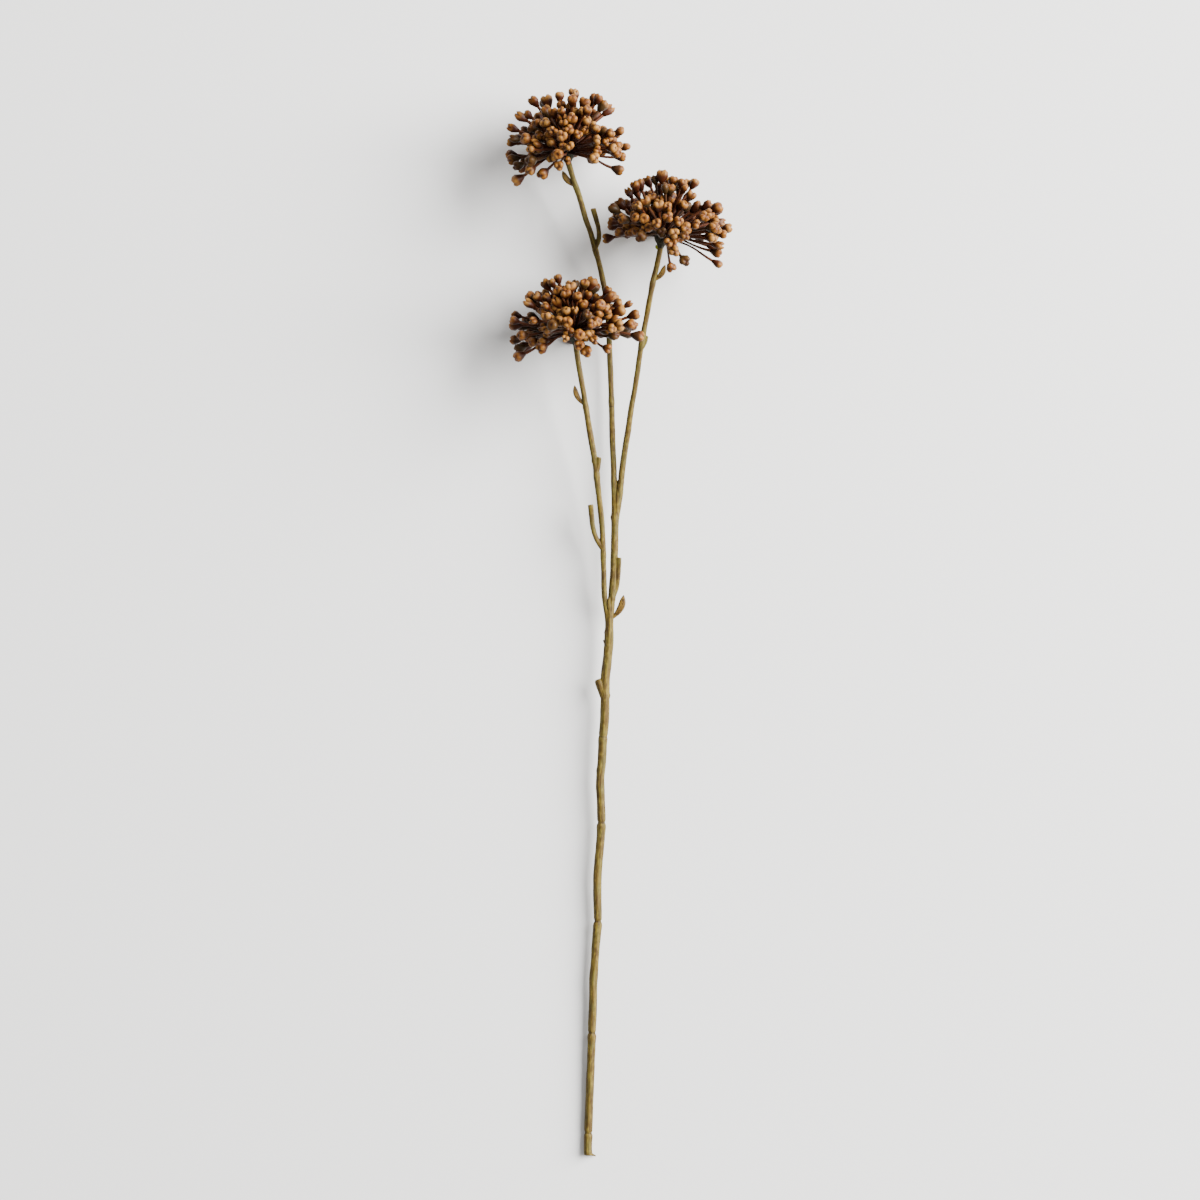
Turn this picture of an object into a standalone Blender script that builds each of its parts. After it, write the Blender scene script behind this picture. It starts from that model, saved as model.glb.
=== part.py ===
# Dried allium: a cut stem that forks into three branches, each carrying a dome of buds.
# It lies on a flat surface at z = 0, on its cut end and on the undersides of its heads.
# The stem runs along +Y, with the heads at the +Y end. Lengths are in millimetres until
# a mesh is made, and plan places are measured from the middle of the cut end:
# x to the right, y towards the heads.

import math
import random

import bmesh
import bpy
from mathutils import Matrix, Vector
from mathutils.bvhtree import BVHTree

MM = 0.001
GAP = 0.3  # left between pieces that touch

# Limbs. Each route is a list of (y, x) in plan, and each rise a list of (y, z).

MAIN_ROUTE = [
    (0.0, -0.1), (15.3, 0.1), (34.6, 0.8), (60.1, 1.8), (77.4, 2.4), (97.8, 3.1),
    (110.0, 3.3), (124.2, 4.3), (135.4, 5.1), (146.6, 6.0), (160.9, 5.8), (173.1, 5.7),
    (185.3, 6.6), (198.5, 7.8), (208.6, 8.3), (222.9, 7.9), (235.0, 7.5), (248.2, 8.6),
    (260.4, 9.1), (272.6, 10.2), (285.7, 10.5), (297.9, 10.6), (310.1, 11.9),
    (323.2, 13.0), (342.4, 13.2),
]
LEFT_ROUTE = [
    (331.3, 12.6), (340.4, 11.6), (347.5, 10.5), (354.6, 10.0), (366.7, 9.8), (378.8, 9.4),
    (391.9, 8.8), (403.9, 7.6), (416.0, 6.2), (429.0, 5.0), (441.0, 3.1), (452.9, 0.9),
    (465.9, -1.1), (477.8, -3.1), (489.7, -5.2), (499.6, -6.7), (505.6, -7.4),
]
CENTRE_ROUTE = [
    (331.3, 13.5), (340.4, 13.9), (347.5, 14.7), (354.6, 15.3), (366.7, 16.1),
    (378.8, 16.4), (392.0, 16.7), (404.1, 16.7), (416.3, 16.3), (429.4, 16.0),
    (441.6, 15.5), (453.8, 15.0), (466.9, 14.8), (479.1, 14.3), (491.3, 13.9),
    (504.4, 13.4), (519.5, 12.8), (534.6, 11.3), (546.5, 9.3), (558.3, 6.6), (568.2, 3.8),
    (577.0, 1.2), (582.9, -1.0), (597.4, -5.3), (608.1, -9.1), (617.7, -12.0),
]
RIGHT_ROUTE = [
    (402.1, 17.2), (410.2, 18.6), (416.3, 19.7), (422.3, 20.6), (429.4, 21.3),
    (441.4, 23.0), (453.5, 24.9), (466.5, 26.8), (478.5, 28.9), (490.5, 30.8),
    (503.4, 32.7), (515.3, 34.8), (526.2, 36.7), (536.1, 38.5), (545.9, 40.4),
    (554.8, 42.6), (565.6, 44.8),
]
CENTRE_RISE = [(331, 12.3), (347, 12.6), (416, 11.6), (497, 9.8), (538, 12.4), (582, 23.2), (618, 33.6)]
LEFT_RISE = [(331, 12.3), (347, 13.4), (406, 19.8), (466, 28.8), (506, 34.6)]
RIGHT_RISE = [(402, 11.7), (422, 12.6), (456, 16.4), (496, 22.2), (536, 29.0), (566, 34.2)]

CUT_END_RADIUS = 2.5
REST_HEIGHT = 2.38  # of the stem's centreline at its cut end, which lies on the surface
FORK_RADIUS = 2.75
FORK_HEIGHT = 12.6
FORK_Y = 342.4
MAIN_BEND = 1.4  # the stem lies flat at its cut end and lifts towards the fork
LIMB_CUT_Y = 348.0  # where the stumps of the first fork end and the branches begin
RIGHT_CUT_Y = 422.8  # the same for the right branch
LEFT_RADIUS = 1.6
CENTRE_RADII = [(331, 2.0), (406, 1.9), (437, 1.75), (618, 1.55)]
RIGHT_RADIUS = 1.5

# Rings where the stem narrows between two lengths of growth: (y, depth).
STEM_NODES = [(14, 0.5), (77, 0.45), (147, 0.55), (209, 0.5), (263, 0.25)]
STEM_SIDES = 8
BRANCH_SIDES = 6
TWIG_SIDES = 5

# Cut twigs, stubs and scars: centreline from inside the limb to the free end, how far each
# point lies above the limb's own height, and radii.
LEFT_TWIG = {
    "points": [(8.8, 380.8), (4.8, 386.8), (2.7, 393.9), (2.0, 400.9), (1.4, 407.1)],
    "lift": [0.0, 0.3, 0.6, 0.9, 1.0],
    "radii": [1.2, 1.35, 1.4, 1.4, 1.45],
}
LEFT_STUB = {
    "points": [(5.2, 427.0), (6.2, 432.0), (6.7, 436.3)],
    "lift": [0.0, 0.5, 0.9],
    "radii": [1.0, 1.1, 0.95],
}
CENTRE_TWIG = {
    "points": [(3.6, 566.2), (6.2, 571.5), (6.2, 577.8), (4.8, 584.1), (2.9, 590.0)],
    "lift": [0.0, 0.8, 1.2, 1.6, 1.8],
    "radii": [1.0, 1.2, 1.25, 1.3, 1.35],
}
CENTRE_SHOOT = {
    "points": [(15.7, 351.0), (18.0, 357.6), (19.0, 365.7), (19.5, 374.4)],
    "lift": [0.0, 0.6, 1.2, 1.8],
    "radii": [0.9, 1.05, 1.05, 1.0],
}
MAIN_STUMP = {
    "points": [(9.6, 286.2), (6.7, 292.2), (4.5, 296.9)],
    "lift": [0.0, 0.4, 0.8],
    "radii": [1.9, 1.85, 1.7],
}
RIGHT_SCAR = {
    "points": [(34.5, 504.8), (36.2, 508.7), (37.1, 511.7)],
    "lift": [0.0, 0.2, 0.2],
    "radii": [1.1, 1.5, 0.9],
}

# Scale leaves, each a plump pointed bract: root and tip in plan, and width.
LEFT_LEAF = {"root": (-2.2, 468.5), "tip": (-8.2, 480.0), "width": 3.0}
CENTRE_LEAF = {"root": (-7.6, 603.6), "tip": (-15.7, 612.7), "width": 3.0}
RIGHT_LEAF = {"root": (40.7, 545.2), "tip": (47.7, 554.9), "width": 2.8}
FORK_LEAF = {"root": (14.5, 336.4), "tip": (22.4, 350.9), "width": 3.9}
LEAF_BOW = 1.5  # how far a leaf's back stands out from the line between its ends

# Heads. Each hub is a small ball on a short neck, and a bud grows from each of its facets.

HUB_RADIUS = 4.4
HUB_NECK = 6.6  # from the branch's tip to the hub's middle
NECK_RADIUS = 1.75
NECK_SIDES = 6
HUB_POINTS = 101
HUB_REACH_DEG = 121  # how far down from its crown the hub is faceted
SKIRT_DEG = 112  # from the crown to the lowest facet that can grow a bud
FACET_JITTER = 0.17  # of the distance between facet corners
DROOP_DEG = 11  # how far the end of a stalk at right angles to the crown bends down
STAGGER = 0.36  # how much shorter than its longest a stalk can be
REACH_STEPS = 6
SWAY_DEG = 4.5  # how far a free stalk can lean away from a neighbour
INNER_SHARE = 0.8  # the longest reach, in front, of a bud that others mostly hide
FRONT_RISE = 0.1  # least upward part of a direction that counts as in front
MATCH_DEG = 15  # how far a stalk can bend to put its bud in a stated place
SEEN_SHARES = (0.94, 0.88, 1, 0.81, 0.74, 0.66)  # of the dome's depth, where a seen bud can be
RIM_DEPTH = 14  # a seen bud with less of the dome in front of it stands at the rim,
RIM_LIFTS = (5, 0, 3, -3, 6, -6, 10, -10)  # this far in front of the hub
SETTLING_ROUNDS = 5
ROOM = 0.8  # as much clearance as a bud looks for, in any direction
REACH_COST = 0.03  # clearance given up for each millimetre nearer the wished reach
NEIGHBOUR_DOT = 0.6  # stalks whose roots lie further apart than this can't meet
TREE_MARGIN = 0.15
SHORTEST_REACH = 20.0
FLOOR_MARGIN = 0.15
LIMB_CLEARANCE = 0.8  # kept between a stalk or bud and any branch it passes
BUD_LENGTH = 7.2
BUD_RADIUS = 3.1
BUD_SHOULDER = 2.7  # from the bud's tip back to its widest ring
CAP_RADIUS = 2.5
STALK_RADIUS = 0.62
STALK_SPACING = [(9, 1.45), (14, 1.4), (20, 1.3)]  # by distance from the hub's middle
GOLDEN_ANGLE = math.pi * (3 - math.sqrt(5))

# The point, high above the middle of the spray, from which the buds' places are given.
EYE = Vector((7.4, 347.9, 2091.4))

# How far buds reach from the hub, as a share of the head's longest, by angle from the crown,
# and where the buds that show from the eye stand, right of the hub's middle and beyond it.
HEADS = {
    "left_head": {
        "seed": 11,
        "reach": 39.0,
        "lean_deg": 8,
        "dome_deg": 88,
        "right_of_crown": [(0, 0.98), (40, 0.94), (69, 0.93), (100, 1.02), (130, 0.85)],
        "left_of_crown": [(0, 0.98), (40, 0.96), (75, 1.02), (105, 1.0), (130, 0.96)],
        "seen": [
            (-19.2, -9.5), (-34.3, -16.1), (-33, -10.4), (-6.9, -1.9), (-37.1, -4.1),
            (-23.3, -1.6), (-31.8, -1), (-17.6, 0), (-37.1, 8.5), (-26.4, 6.6), (-12.3, 3.1),
            (-34.9, 12.3), (-17.9, 10.4), (-29, 17.3), (-26.4, 22), (-18.3, 15.4),
            (-21.4, 21.7), (-19.5, 30.2), (-3.8, 6), (-14.5, 30.5), (-8.8, 25.8), (-9.4, 34.6),
            (-3.8, 24.5), (-2.2, 36.2), (-0.9, 30.2), (1.9, 34.9), (3.5, 23.6), (5, 29.3),
            (10.1, 30.5), (14.5, 31.8), (5.7, 11.6), (17, 26.1), (14.5, 18.5), (21.4, 22),
            (25.2, 19.2), (19.5, 13.5), (32.7, 17.9), (8.8, 4.7), (13.9, 7.2), (28.3, 14.1),
            (2.8, 0.9), (36.5, 9.7), (28.7, 5.3), (22.7, 2.8), (34.6, 3.4), (39.4, -1.9),
            (18.9, -1.6), (13.9, -3.5), (18.9, -11), (8.2, -12.3), (3.2, -7.3),
        ],
    },
    "centre_head": {
        "seed": 4,
        "reach": 39.5,
        "lean_deg": 10,
        "dome_deg": 90,
        "right_of_crown": [(0, 1.0), (39, 0.98), (62, 0.94), (85, 0.97), (130, 0.89)],
        "left_of_crown": [(0, 1.0), (30, 0.93), (55, 0.97), (80, 0.96), (130, 0.92)],
        "seen": [
            (-4.7, -10.2), (-13.8, -14.9), (-28.6, -17.9), (-22.7, -13.2), (-22.7, -7.8),
            (-29.2, -9), (-5, -1.3), (-33, -4.6), (-7.9, -0.8), (-35.1, 0.4), (-15.3, 0.4),
            (-21.5, 1.6), (-31.8, 7.8), (-26.2, 9.3), (-32.1, 15.8), (-29.8, 21.1),
            (-23.3, 22.3), (-18.6, 18.7), (-13, 19.3), (-7.9, 12.8), (-18.6, 31.4),
            (-10.3, 25.2), (-12.4, 32.3), (-1.4, 8.1), (-5.6, 34.4), (-3.8, 25.5), (-2, 17.2),
            (-2.3, 39.7), (2.1, 35.8), (3.3, 31.1), (5.6, 34.7), (3.9, 21.1), (2.4, 12.8),
            (12.7, 30.2), (16.6, 32.9), (13.6, 24), (19.2, 31.7), (11.2, 16.9), (3.3, 4.6),
            (8, 9.3), (23.3, 27), (26.9, 24), (18.3, 14.6), (16.9, 9.3), (25.7, 13.4),
            (32.8, 14), (31, 4), (18, 2.2), (35.7, 2.8), (26.3, 1.6), (29.3, -1.3),
            (34.3, -4.3), (15.7, -3.4), (31.9, -12), (6.5, -4.3),
        ],
    },
    "right_head": {
        "seed": 23,
        "reach": 39.5,
        "lean_deg": -8,
        "dome_deg": 82,
        "right_of_crown": [(0, 0.98), (25, 1.0), (50, 1.0), (75, 1.06), (130, 0.94)],
        "left_of_crown": [(0, 0.98), (30, 0.95), (55, 0.93), (80, 0.95), (130, 0.9)],
        "seen": [
            (-12, -2.3), (-33.4, -2.3), (-31.5, 7.8), (-24.6, 10.9), (-31.5, 16.3), (-16.4, 9),
            (-25.2, 19.7), (-27.4, 22.2), (-10.1, 8.7), (-13.9, 17.8), (-5.1, 7.1),
            (-19.3, 27.9), (-15.5, 32), (-9.5, 22.2), (-12, 32.6), (-8.2, 32.3), (-2.3, 12.2),
            (-5.7, 34.5), (-0.7, 37), (1.8, 29.8), (5, 28.5), (3.4, 18.5), (6.6, 33.3),
            (3.1, 11.5), (10.6, 33.9), (13.8, 32.3), (15.1, 27.6), (8.1, 14.1), (21, 32.3),
            (13.8, 21), (14.4, 17.8), (18.8, 23.2), (25.1, 21.6), (27.6, 20.4), (11.6, 8.4),
            (33, 18.8), (24.2, 13.4), (28.6, 15.6), (31.4, 11.9), (22.3, 6.5), (16, 4),
            (29.5, 7.1), (33.6, 6.5), (40.6, 6.2), (37.1, 3), (39, -0.7), (29.5, -1),
            (7.5, -0.4), (14.7, -1.4), (33.6, -5.5), (33, -10.8), (33, -17.4), (6.2, -6.1),
            (12.5, -15.8), (3.7, -5.8), (5.6, -20.2),
        ],
    },
}


def smooth_value(table, at):
    """The value at one place of a smooth curve through a table of (place, value)."""
    last = len(table) - 2
    i = 0
    while i < last and at > table[i + 1][0]:
        i += 1

    def slope(k):
        low, high = table[max(k - 1, 0)], table[min(k + 1, len(table) - 1)]
        return (high[1] - low[1]) / (high[0] - low[0])

    (a, start), (b, end) = table[i], table[i + 1]
    span = b - a
    t = (at - a) / span
    return (
        start * (2 * t**3 - 3 * t**2 + 1)
        + slope(i) * span * (t**3 - 2 * t**2 + t)
        + end * (3 * t**2 - 2 * t**3)
        + slope(i + 1) * span * (t**3 - t**2)
    )


def main_rise(y):
    return REST_HEIGHT + (FORK_HEIGHT - REST_HEIGHT) * (max(y, 0) / FORK_Y) ** MAIN_BEND


def main_radius(y):
    radius = CUT_END_RADIUS + (FORK_RADIUS - CUT_END_RADIUS) * y / FORK_Y
    for place, depth in STEM_NODES:
        radius -= depth * math.exp(-(((y - place) / 1.3) ** 2))
        radius += 0.3 * depth * math.exp(-(((y - place + 3.0) / 2.2) ** 2))
    return radius


def ring(centre, along, half_width, half_height, sides):
    """Corners of a cross-section, with a flat side underneath."""
    across = along.cross(Vector((0, 0, 1))).normalized()
    upward = across.cross(along).normalized()
    turn = 2 * math.pi / sides
    return [
        centre
        + across * half_width * math.cos(turn * (k + 0.5) - math.pi / 2)
        + upward * half_height * math.sin(turn * (k + 0.5) - math.pi / 2)
        for k in range(sides)
    ]


def loft(name, rings, tip=None):
    """A closed solid through rings of corners, with flat ends or a pointed tip."""
    bm = bmesh.new()
    rows = [[bm.verts.new(corner * MM) for corner in corners] for corners in rings]
    sides = len(rows[0])
    for low, high in zip(rows, rows[1:]):
        for k in range(sides):
            n = (k + 1) % sides
            bm.faces.new((low[k], low[n], high[n], high[k]))
    bm.faces.new(reversed(rows[0]))
    if tip is None:
        bm.faces.new(rows[-1])
    else:
        point = bm.verts.new(tip * MM)
        for k in range(sides):
            bm.faces.new((rows[-1][k], rows[-1][(k + 1) % sides], point))
    return finish(name, bm)


def finish(name, bm):
    bmesh.ops.recalc_face_normals(bm, faces=bm.faces)
    bmesh.ops.triangulate(bm, faces=bm.faces, quad_method="SHORT_EDGE")
    mesh = bpy.data.meshes.new(name)
    bm.to_mesh(mesh)
    bm.free()
    piece = bpy.data.objects.new(name, mesh)
    bpy.context.scene.collection.objects.link(piece)
    return piece


def limb(name, x_at, z_at, radius_at, places, sides):
    """A tube whose rings stand at the given y places of a limb."""
    step = 0.5
    rings = []
    for y in places:
        before = Vector((x_at(y - step), y - step, z_at(y - step)))
        after = Vector((x_at(y + step), y + step, z_at(y + step)))
        centre = Vector((x_at(y), y, z_at(y)))
        radius = radius_at(y)
        rings.append(ring(centre, (after - before).normalized(), radius, radius, sides))
    return loft(name, rings)


def spaced(start, end, spacing, extra=()):
    """Places from start to end, evenly spaced, with extra ones where detail needs them."""
    count = max(2, round((end - start) / spacing) + 1)
    even = [start + (end - start) * k / (count - 1) for k in range(count)]
    near = [y for y in extra if start < y < end]
    far = [y for y in even if all(abs(y - other) > spacing * 0.4 for other in near)]
    return sorted({start, end, *near, *far})


def twig_line(shape, z_at):
    return [Vector((x, y, z_at(y) + lift)) for (x, y), lift in zip(shape["points"], shape["lift"])]


def twig(name, shape, z_at):
    """A short side twig or stub with a blunt end, on the limb whose height z_at gives."""
    centres = twig_line(shape, z_at)
    rings = []
    for k, (centre, radius) in enumerate(zip(centres, shape["radii"])):
        along = centres[min(k + 1, len(centres) - 1)] - centres[max(k - 1, 0)]
        rings.append(ring(centre, along.normalized(), radius, radius, TWIG_SIDES))
    return loft(name, rings)


def leaf(name, shape, z_at):
    """A plump bract that swells from its root on a limb and ends in a point."""
    root_x, root_y = shape["root"]
    root = Vector((root_x, root_y, z_at(root_y)))
    tip = Vector((*shape["tip"], z_at(root_y) + 1.2))
    along = (tip - root).normalized()
    outward = along.cross(Vector((0, 0, 1))) * math.copysign(1, along.x)
    rings = []
    for share, width in ((-0.08, 0.42), (0.2, 0.7), (0.5, 1.0), (0.8, 0.62)):
        centre = root.lerp(tip, share) + outward * LEAF_BOW * 4 * share * (1 - share)
        half = shape["width"] / 2 * width
        rings.append(ring(centre, along, half, half * 0.7, TWIG_SIDES))
    return loft(name, rings, tip)


def fuse(base, extras):
    """Joins extra pieces into one solid with the base, and removes them."""
    for extra in extras:
        joint = base.modifiers.new(extra.name, "BOOLEAN")
        joint.operation = "UNION"
        joint.solver = "EXACT"
        joint.object = extra
    graph = bpy.context.evaluated_depsgraph_get()
    fused = bpy.data.meshes.new_from_object(base.evaluated_get(graph))
    base.modifiers.clear()
    base.data = fused
    for extra in extras:
        bpy.data.objects.remove(extra)
    return base


def limb_functions(route, rise):
    return (lambda y: smooth_value(route, y)), (lambda y: smooth_value(rise, y))


def make_stems():
    """The main stem with its fork, and the three branches that leave it."""
    left_x, left_z = limb_functions(LEFT_ROUTE, LEFT_RISE)
    centre_x, centre_z = limb_functions(CENTRE_ROUTE, CENTRE_RISE)
    right_x, right_z = limb_functions(RIGHT_ROUTE, RIGHT_RISE)

    def centre_radius(y):
        return smooth_value(CENTRE_RADII, y)

    node_places = [
        place + offset for place, _ in STEM_NODES for offset in (-3.0, -1.3, 0, 1.3)
    ]
    main = limb(
        "main_stem",
        lambda y: smooth_value(MAIN_ROUTE, y),
        main_rise,
        main_radius,
        spaced(0, FORK_Y, 20, node_places),
        STEM_SIDES,
    )
    fork_start = LEFT_ROUTE[0][0] + 1
    left_stump = limb(
        "left_stump",
        left_x,
        left_z,
        lambda y: LEFT_RADIUS,
        spaced(fork_start, LIMB_CUT_Y, 6),
        BRANCH_SIDES,
    )
    centre_stump = limb(
        "centre_stump",
        centre_x,
        centre_z,
        centre_radius,
        spaced(fork_start, LIMB_CUT_Y, 6),
        BRANCH_SIDES,
    )
    fuse(
        main,
        [
            left_stump,
            centre_stump,
            twig("stump", MAIN_STUMP, main_rise),
            leaf("leaf", FORK_LEAF, main_rise),
        ],
    )

    left = limb(
        "left_branch",
        left_x,
        left_z,
        lambda y: LEFT_RADIUS,
        spaced(LIMB_CUT_Y + GAP, LEFT_ROUTE[-1][0], 12),
        BRANCH_SIDES,
    )
    fuse(
        left,
        [
            twig("twig", LEFT_TWIG, left_z),
            twig("stub", LEFT_STUB, left_z),
            leaf("leaf", LEFT_LEAF, left_z),
        ],
    )

    centre = limb(
        "centre_branch",
        centre_x,
        centre_z,
        centre_radius,
        spaced(LIMB_CUT_Y + GAP, CENTRE_ROUTE[-1][0], 12),
        BRANCH_SIDES,
    )
    right_stump = limb(
        "right_stump",
        right_x,
        right_z,
        lambda y: RIGHT_RADIUS,
        spaced(RIGHT_ROUTE[0][0] + 1, RIGHT_CUT_Y, 6),
        BRANCH_SIDES,
    )
    fuse(
        centre,
        [
            right_stump,
            twig("shoot", CENTRE_SHOOT, centre_z),
            twig("twig", CENTRE_TWIG, centre_z),
            leaf("leaf", CENTRE_LEAF, centre_z),
        ],
    )

    right = limb(
        "right_branch",
        right_x,
        right_z,
        lambda y: RIGHT_RADIUS,
        spaced(RIGHT_CUT_Y + GAP, RIGHT_ROUTE[-1][0], 12),
        BRANCH_SIDES,
    )
    fuse(right, [twig("scar", RIGHT_SCAR, right_z), leaf("leaf", RIGHT_LEAF, right_z)])
    limbs = []
    for x_at, z_at, radius_at, start, end in (
        (left_x, left_z, lambda y: LEFT_RADIUS, 400, 480),
        (centre_x, centre_z, centre_radius, 400, 590),
        (right_x, right_z, lambda y: RIGHT_RADIUS, 420, 540),
    ):
        for y in range(start, end, 2):
            limbs.append((Vector((x_at(y), y, z_at(y))), radius_at(y)))
    for at, radius in zip(twig_line(CENTRE_TWIG, centre_z), CENTRE_TWIG["radii"]):
        limbs.append((at, radius * 1.5))
    return {
        "left_head": (left, left_x, left_z, LEFT_ROUTE[-1][0]),
        "centre_head": (centre, centre_x, centre_z, CENTRE_ROUTE[-1][0]),
        "right_head": (right, right_x, right_z, RIGHT_ROUTE[-1][0]),
    }, main, limbs


def head_matrix(head, x_at, z_at, y):
    """The head's own frame: origin at the hub's middle, +Z to its crown, +X to the right."""
    lean = math.radians(head["lean_deg"])
    rise = math.atan((z_at(y) - z_at(y - 4)) / 4)
    crown = Vector((-math.sin(lean) * math.cos(rise), math.cos(lean) * math.cos(rise), math.sin(rise)))
    along = Vector((x_at(y) - x_at(y - 2), 2, z_at(y) - z_at(y - 2))).normalized()
    tip = Vector((x_at(y), y, z_at(y)))
    right = crown.cross(Vector((0, 0, 1))).normalized()
    up = right.cross(crown) * -1
    turn = Matrix((right, up, crown)).transposed().to_4x4()
    return Matrix.Translation(tip + along * GAP + crown * HUB_NECK) @ turn


def hub_mesh(rng):
    """The hub: a faceted ball with a neck down to the branch."""
    bm = bmesh.new()
    lowest = math.cos(math.radians(HUB_REACH_DEG))
    corner_gap = math.sqrt(2 * math.pi * (1 - lowest) / HUB_POINTS)
    for k in range(HUB_POINTS):
        height = 1 - (k + 0.5) / HUB_POINTS * (1 - lowest)
        polar = math.acos(height) + rng.uniform(-1, 1) * FACET_JITTER * corner_gap
        swing = rng.uniform(-1, 1) * FACET_JITTER * corner_gap / max(math.sin(polar), 0.2)
        turn = k * GOLDEN_ANGLE + swing
        bm.verts.new(
            HUB_RADIUS
            * Vector((math.sin(polar) * math.cos(turn), math.sin(polar) * math.sin(turn), math.cos(polar)))
        )
    for k in range(NECK_SIDES):
        turn = 2 * math.pi * k / NECK_SIDES
        bm.verts.new(
            Vector((NECK_RADIUS * math.cos(turn), NECK_RADIUS * math.sin(turn), -HUB_NECK))
        )
    bmesh.ops.convex_hull(bm, input=bm.verts)
    bmesh.ops.triangulate(bm, faces=bm.faces)
    bmesh.ops.recalc_face_normals(bm, faces=bm.faces)
    return bm


def polar_of(direction):
    return math.acos(max(-1, min(1, direction.normalized().z)))


def reach_towards(head, direction):
    """How far buds reach in one direction from the hub."""
    degrees = min(math.degrees(polar_of(direction)), 130)
    side = direction.normalized().x
    right = smooth_value(head["right_of_crown"], degrees)
    left = smooth_value(head["left_of_crown"], degrees)
    return head["reach"] * (right * (1 + side) + left * (1 - side)) / 2


def drooped(direction):
    """Where a stalk ends up pointing when it leaves the hub in one direction."""
    polar = polar_of(direction)
    turn = math.atan2(direction.y, direction.x)
    bent = polar + math.radians(DROOP_DEG) * (polar / (math.pi / 2)) ** 2
    return Vector((math.sin(bent) * math.cos(turn), math.sin(bent) * math.sin(turn), math.cos(bent)))


def stalk_point(stalk, pose, distance):
    """A point on a stalk, which runs straight from the hub to its bud's neck and ends along its aim."""
    aim, reach = pose
    neck = reach - BUD_LENGTH * stalk["size"]
    if distance >= neck:
        return aim * distance
    share = (distance - HUB_RADIUS) / (neck - HUB_RADIUS)
    return (stalk["root"] * HUB_RADIUS).lerp(aim * neck, share)


def bud_middle(stalk, pose):
    return pose[0] * (pose[1] - BUD_SHOULDER * stalk["size"])


def bud_rings(stalk):
    """Three rings of three corners: the neck, the widest part and the shoulder of a bud."""
    aim, reach = stalk["pose"]
    size = stalk["size"]
    middle = stalk["facet"].calc_center_median()
    rings = []
    for back, radius, twist in (
        (BUD_LENGTH * size, STALK_RADIUS, 0),
        (BUD_SHOULDER * size, BUD_RADIUS * size, 0),
        (0, CAP_RADIUS * size, math.pi / 3),
    ):
        row = []
        for vert in stalk["facet"].verts:
            outward = vert.co - middle
            outward = (outward - aim * outward.dot(aim)).normalized()
            row.append(aim * (reach - back) + Matrix.Rotation(twist, 3, aim) @ outward * radius)
        rings.append(row)
    return rings


def new_stalk(facet, rng):
    return {
        "facet": facet,
        "root": facet.calc_center_median().normalized(),
        "size": rng.uniform(0.84, 1.1),
        "wish": rng.uniform(0, 1) ** 1.7,
        "is_seen": False,
        "poses": [],
    }


def seen_poses(head, matrix, spot):
    """Aims and reaches that all show a bud over one spot, from the foremost to the deepest."""
    plan = Vector((*spot, 0))
    beside_hub = matrix.translation + plan
    surface = reach_towards(head, matrix.to_3x3().inverted() @ plan) - BUD_SHOULDER
    depth = math.sqrt(max(0, surface**2 - plan.length_squared))
    lifts = [depth * share for share in SEEN_SHARES] if depth > RIM_DEPTH else RIM_LIFTS
    poses = []
    for lift in lifts:
        share = lift / (EYE.z - beside_hub.z)
        place = matrix.inverted() @ beside_hub.lerp(EYE, share)
        poses.append((place.normalized(), place.length + BUD_SHOULDER))
    return poses


def aim_at_seen(head, matrix, stalks):
    """Gives the stalk that points nearest each seen bud's place the poses that reach it."""
    options = [seen_poses(head, matrix, spot) for spot in head["seen"]]
    pairs = []
    for i, stalk in enumerate(stalks):
        bent = drooped(stalk["root"])
        for j, poses in enumerate(options):
            angle = math.degrees(bent.angle(poses[0][0]))
            if angle < MATCH_DEG:
                pairs.append((angle, i, j))
    taken = set()
    for _, i, j in sorted(pairs):
        if stalks[i]["poses"] or j in taken:
            continue
        stalks[i]["poses"] = options[j]
        stalks[i]["is_seen"] = True
        taken.add(j)


def add_free_poses(head, matrix, stalk):
    """The reaches open to a stalk whose bud isn't one of those that show."""
    root = stalk["root"]
    if polar_of(root) > math.radians(head["dome_deg"]):
        return
    aim = drooped(root)
    in_front = (matrix.to_3x3() @ root).z > FRONT_RISE
    furthest = reach_towards(head, aim) * (INNER_SHARE if in_front else 1)
    sideways = aim.orthogonal().normalized() * math.tan(math.radians(SWAY_DEG))
    aims = [aim]
    for turn in range(4):
        swayed = aim + Matrix.Rotation(turn * math.pi / 2, 3, aim) @ sideways
        aims.append(swayed.normalized())
    reaches = [furthest * (1 - STAGGER * k / (REACH_STEPS - 1)) for k in range(REACH_STEPS)]
    reaches.insert(0, reaches.pop(round(stalk["wish"] * (REACH_STEPS - 1))))
    stalk["poses"] = [(swayed, reach) for swayed in aims for reach in reaches]


def lay_out(head, matrix, stalks, limbs):
    """Settles every stalk in the pose that keeps its bud clearest of all the others."""
    hub = matrix.translation
    near_limbs = [(matrix.inverted() @ at, radius) for at, radius in limbs if (at - hub).length < 55]
    aim_at_seen(head, matrix, stalks)
    for stalk in stalks:
        if not stalk["poses"]:
            add_free_poses(head, matrix, stalk)
        stalk["poses"] = [pose for pose in stalk["poses"] if is_free(matrix, near_limbs, stalk, pose)]
    stalks = [stalk for stalk in stalks if stalk["poses"]]
    for stalk in stalks:
        stalk["pose"] = stalk["poses"][0]
        stalk["others"] = [
            other
            for other in stalks
            if other is not stalk and other["root"].dot(stalk["root"]) > NEIGHBOUR_DOT
        ]
    for _ in range(SETTLING_ROUNDS):
        for stalk in stalks:
            stalk["pose"] = max(
                stalk["poses"],
                key=lambda pose: room(stalk, pose) - REACH_COST * abs(pose[1] - stalk["poses"][0][1]),
            )
    return thinned(stalks)


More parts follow.
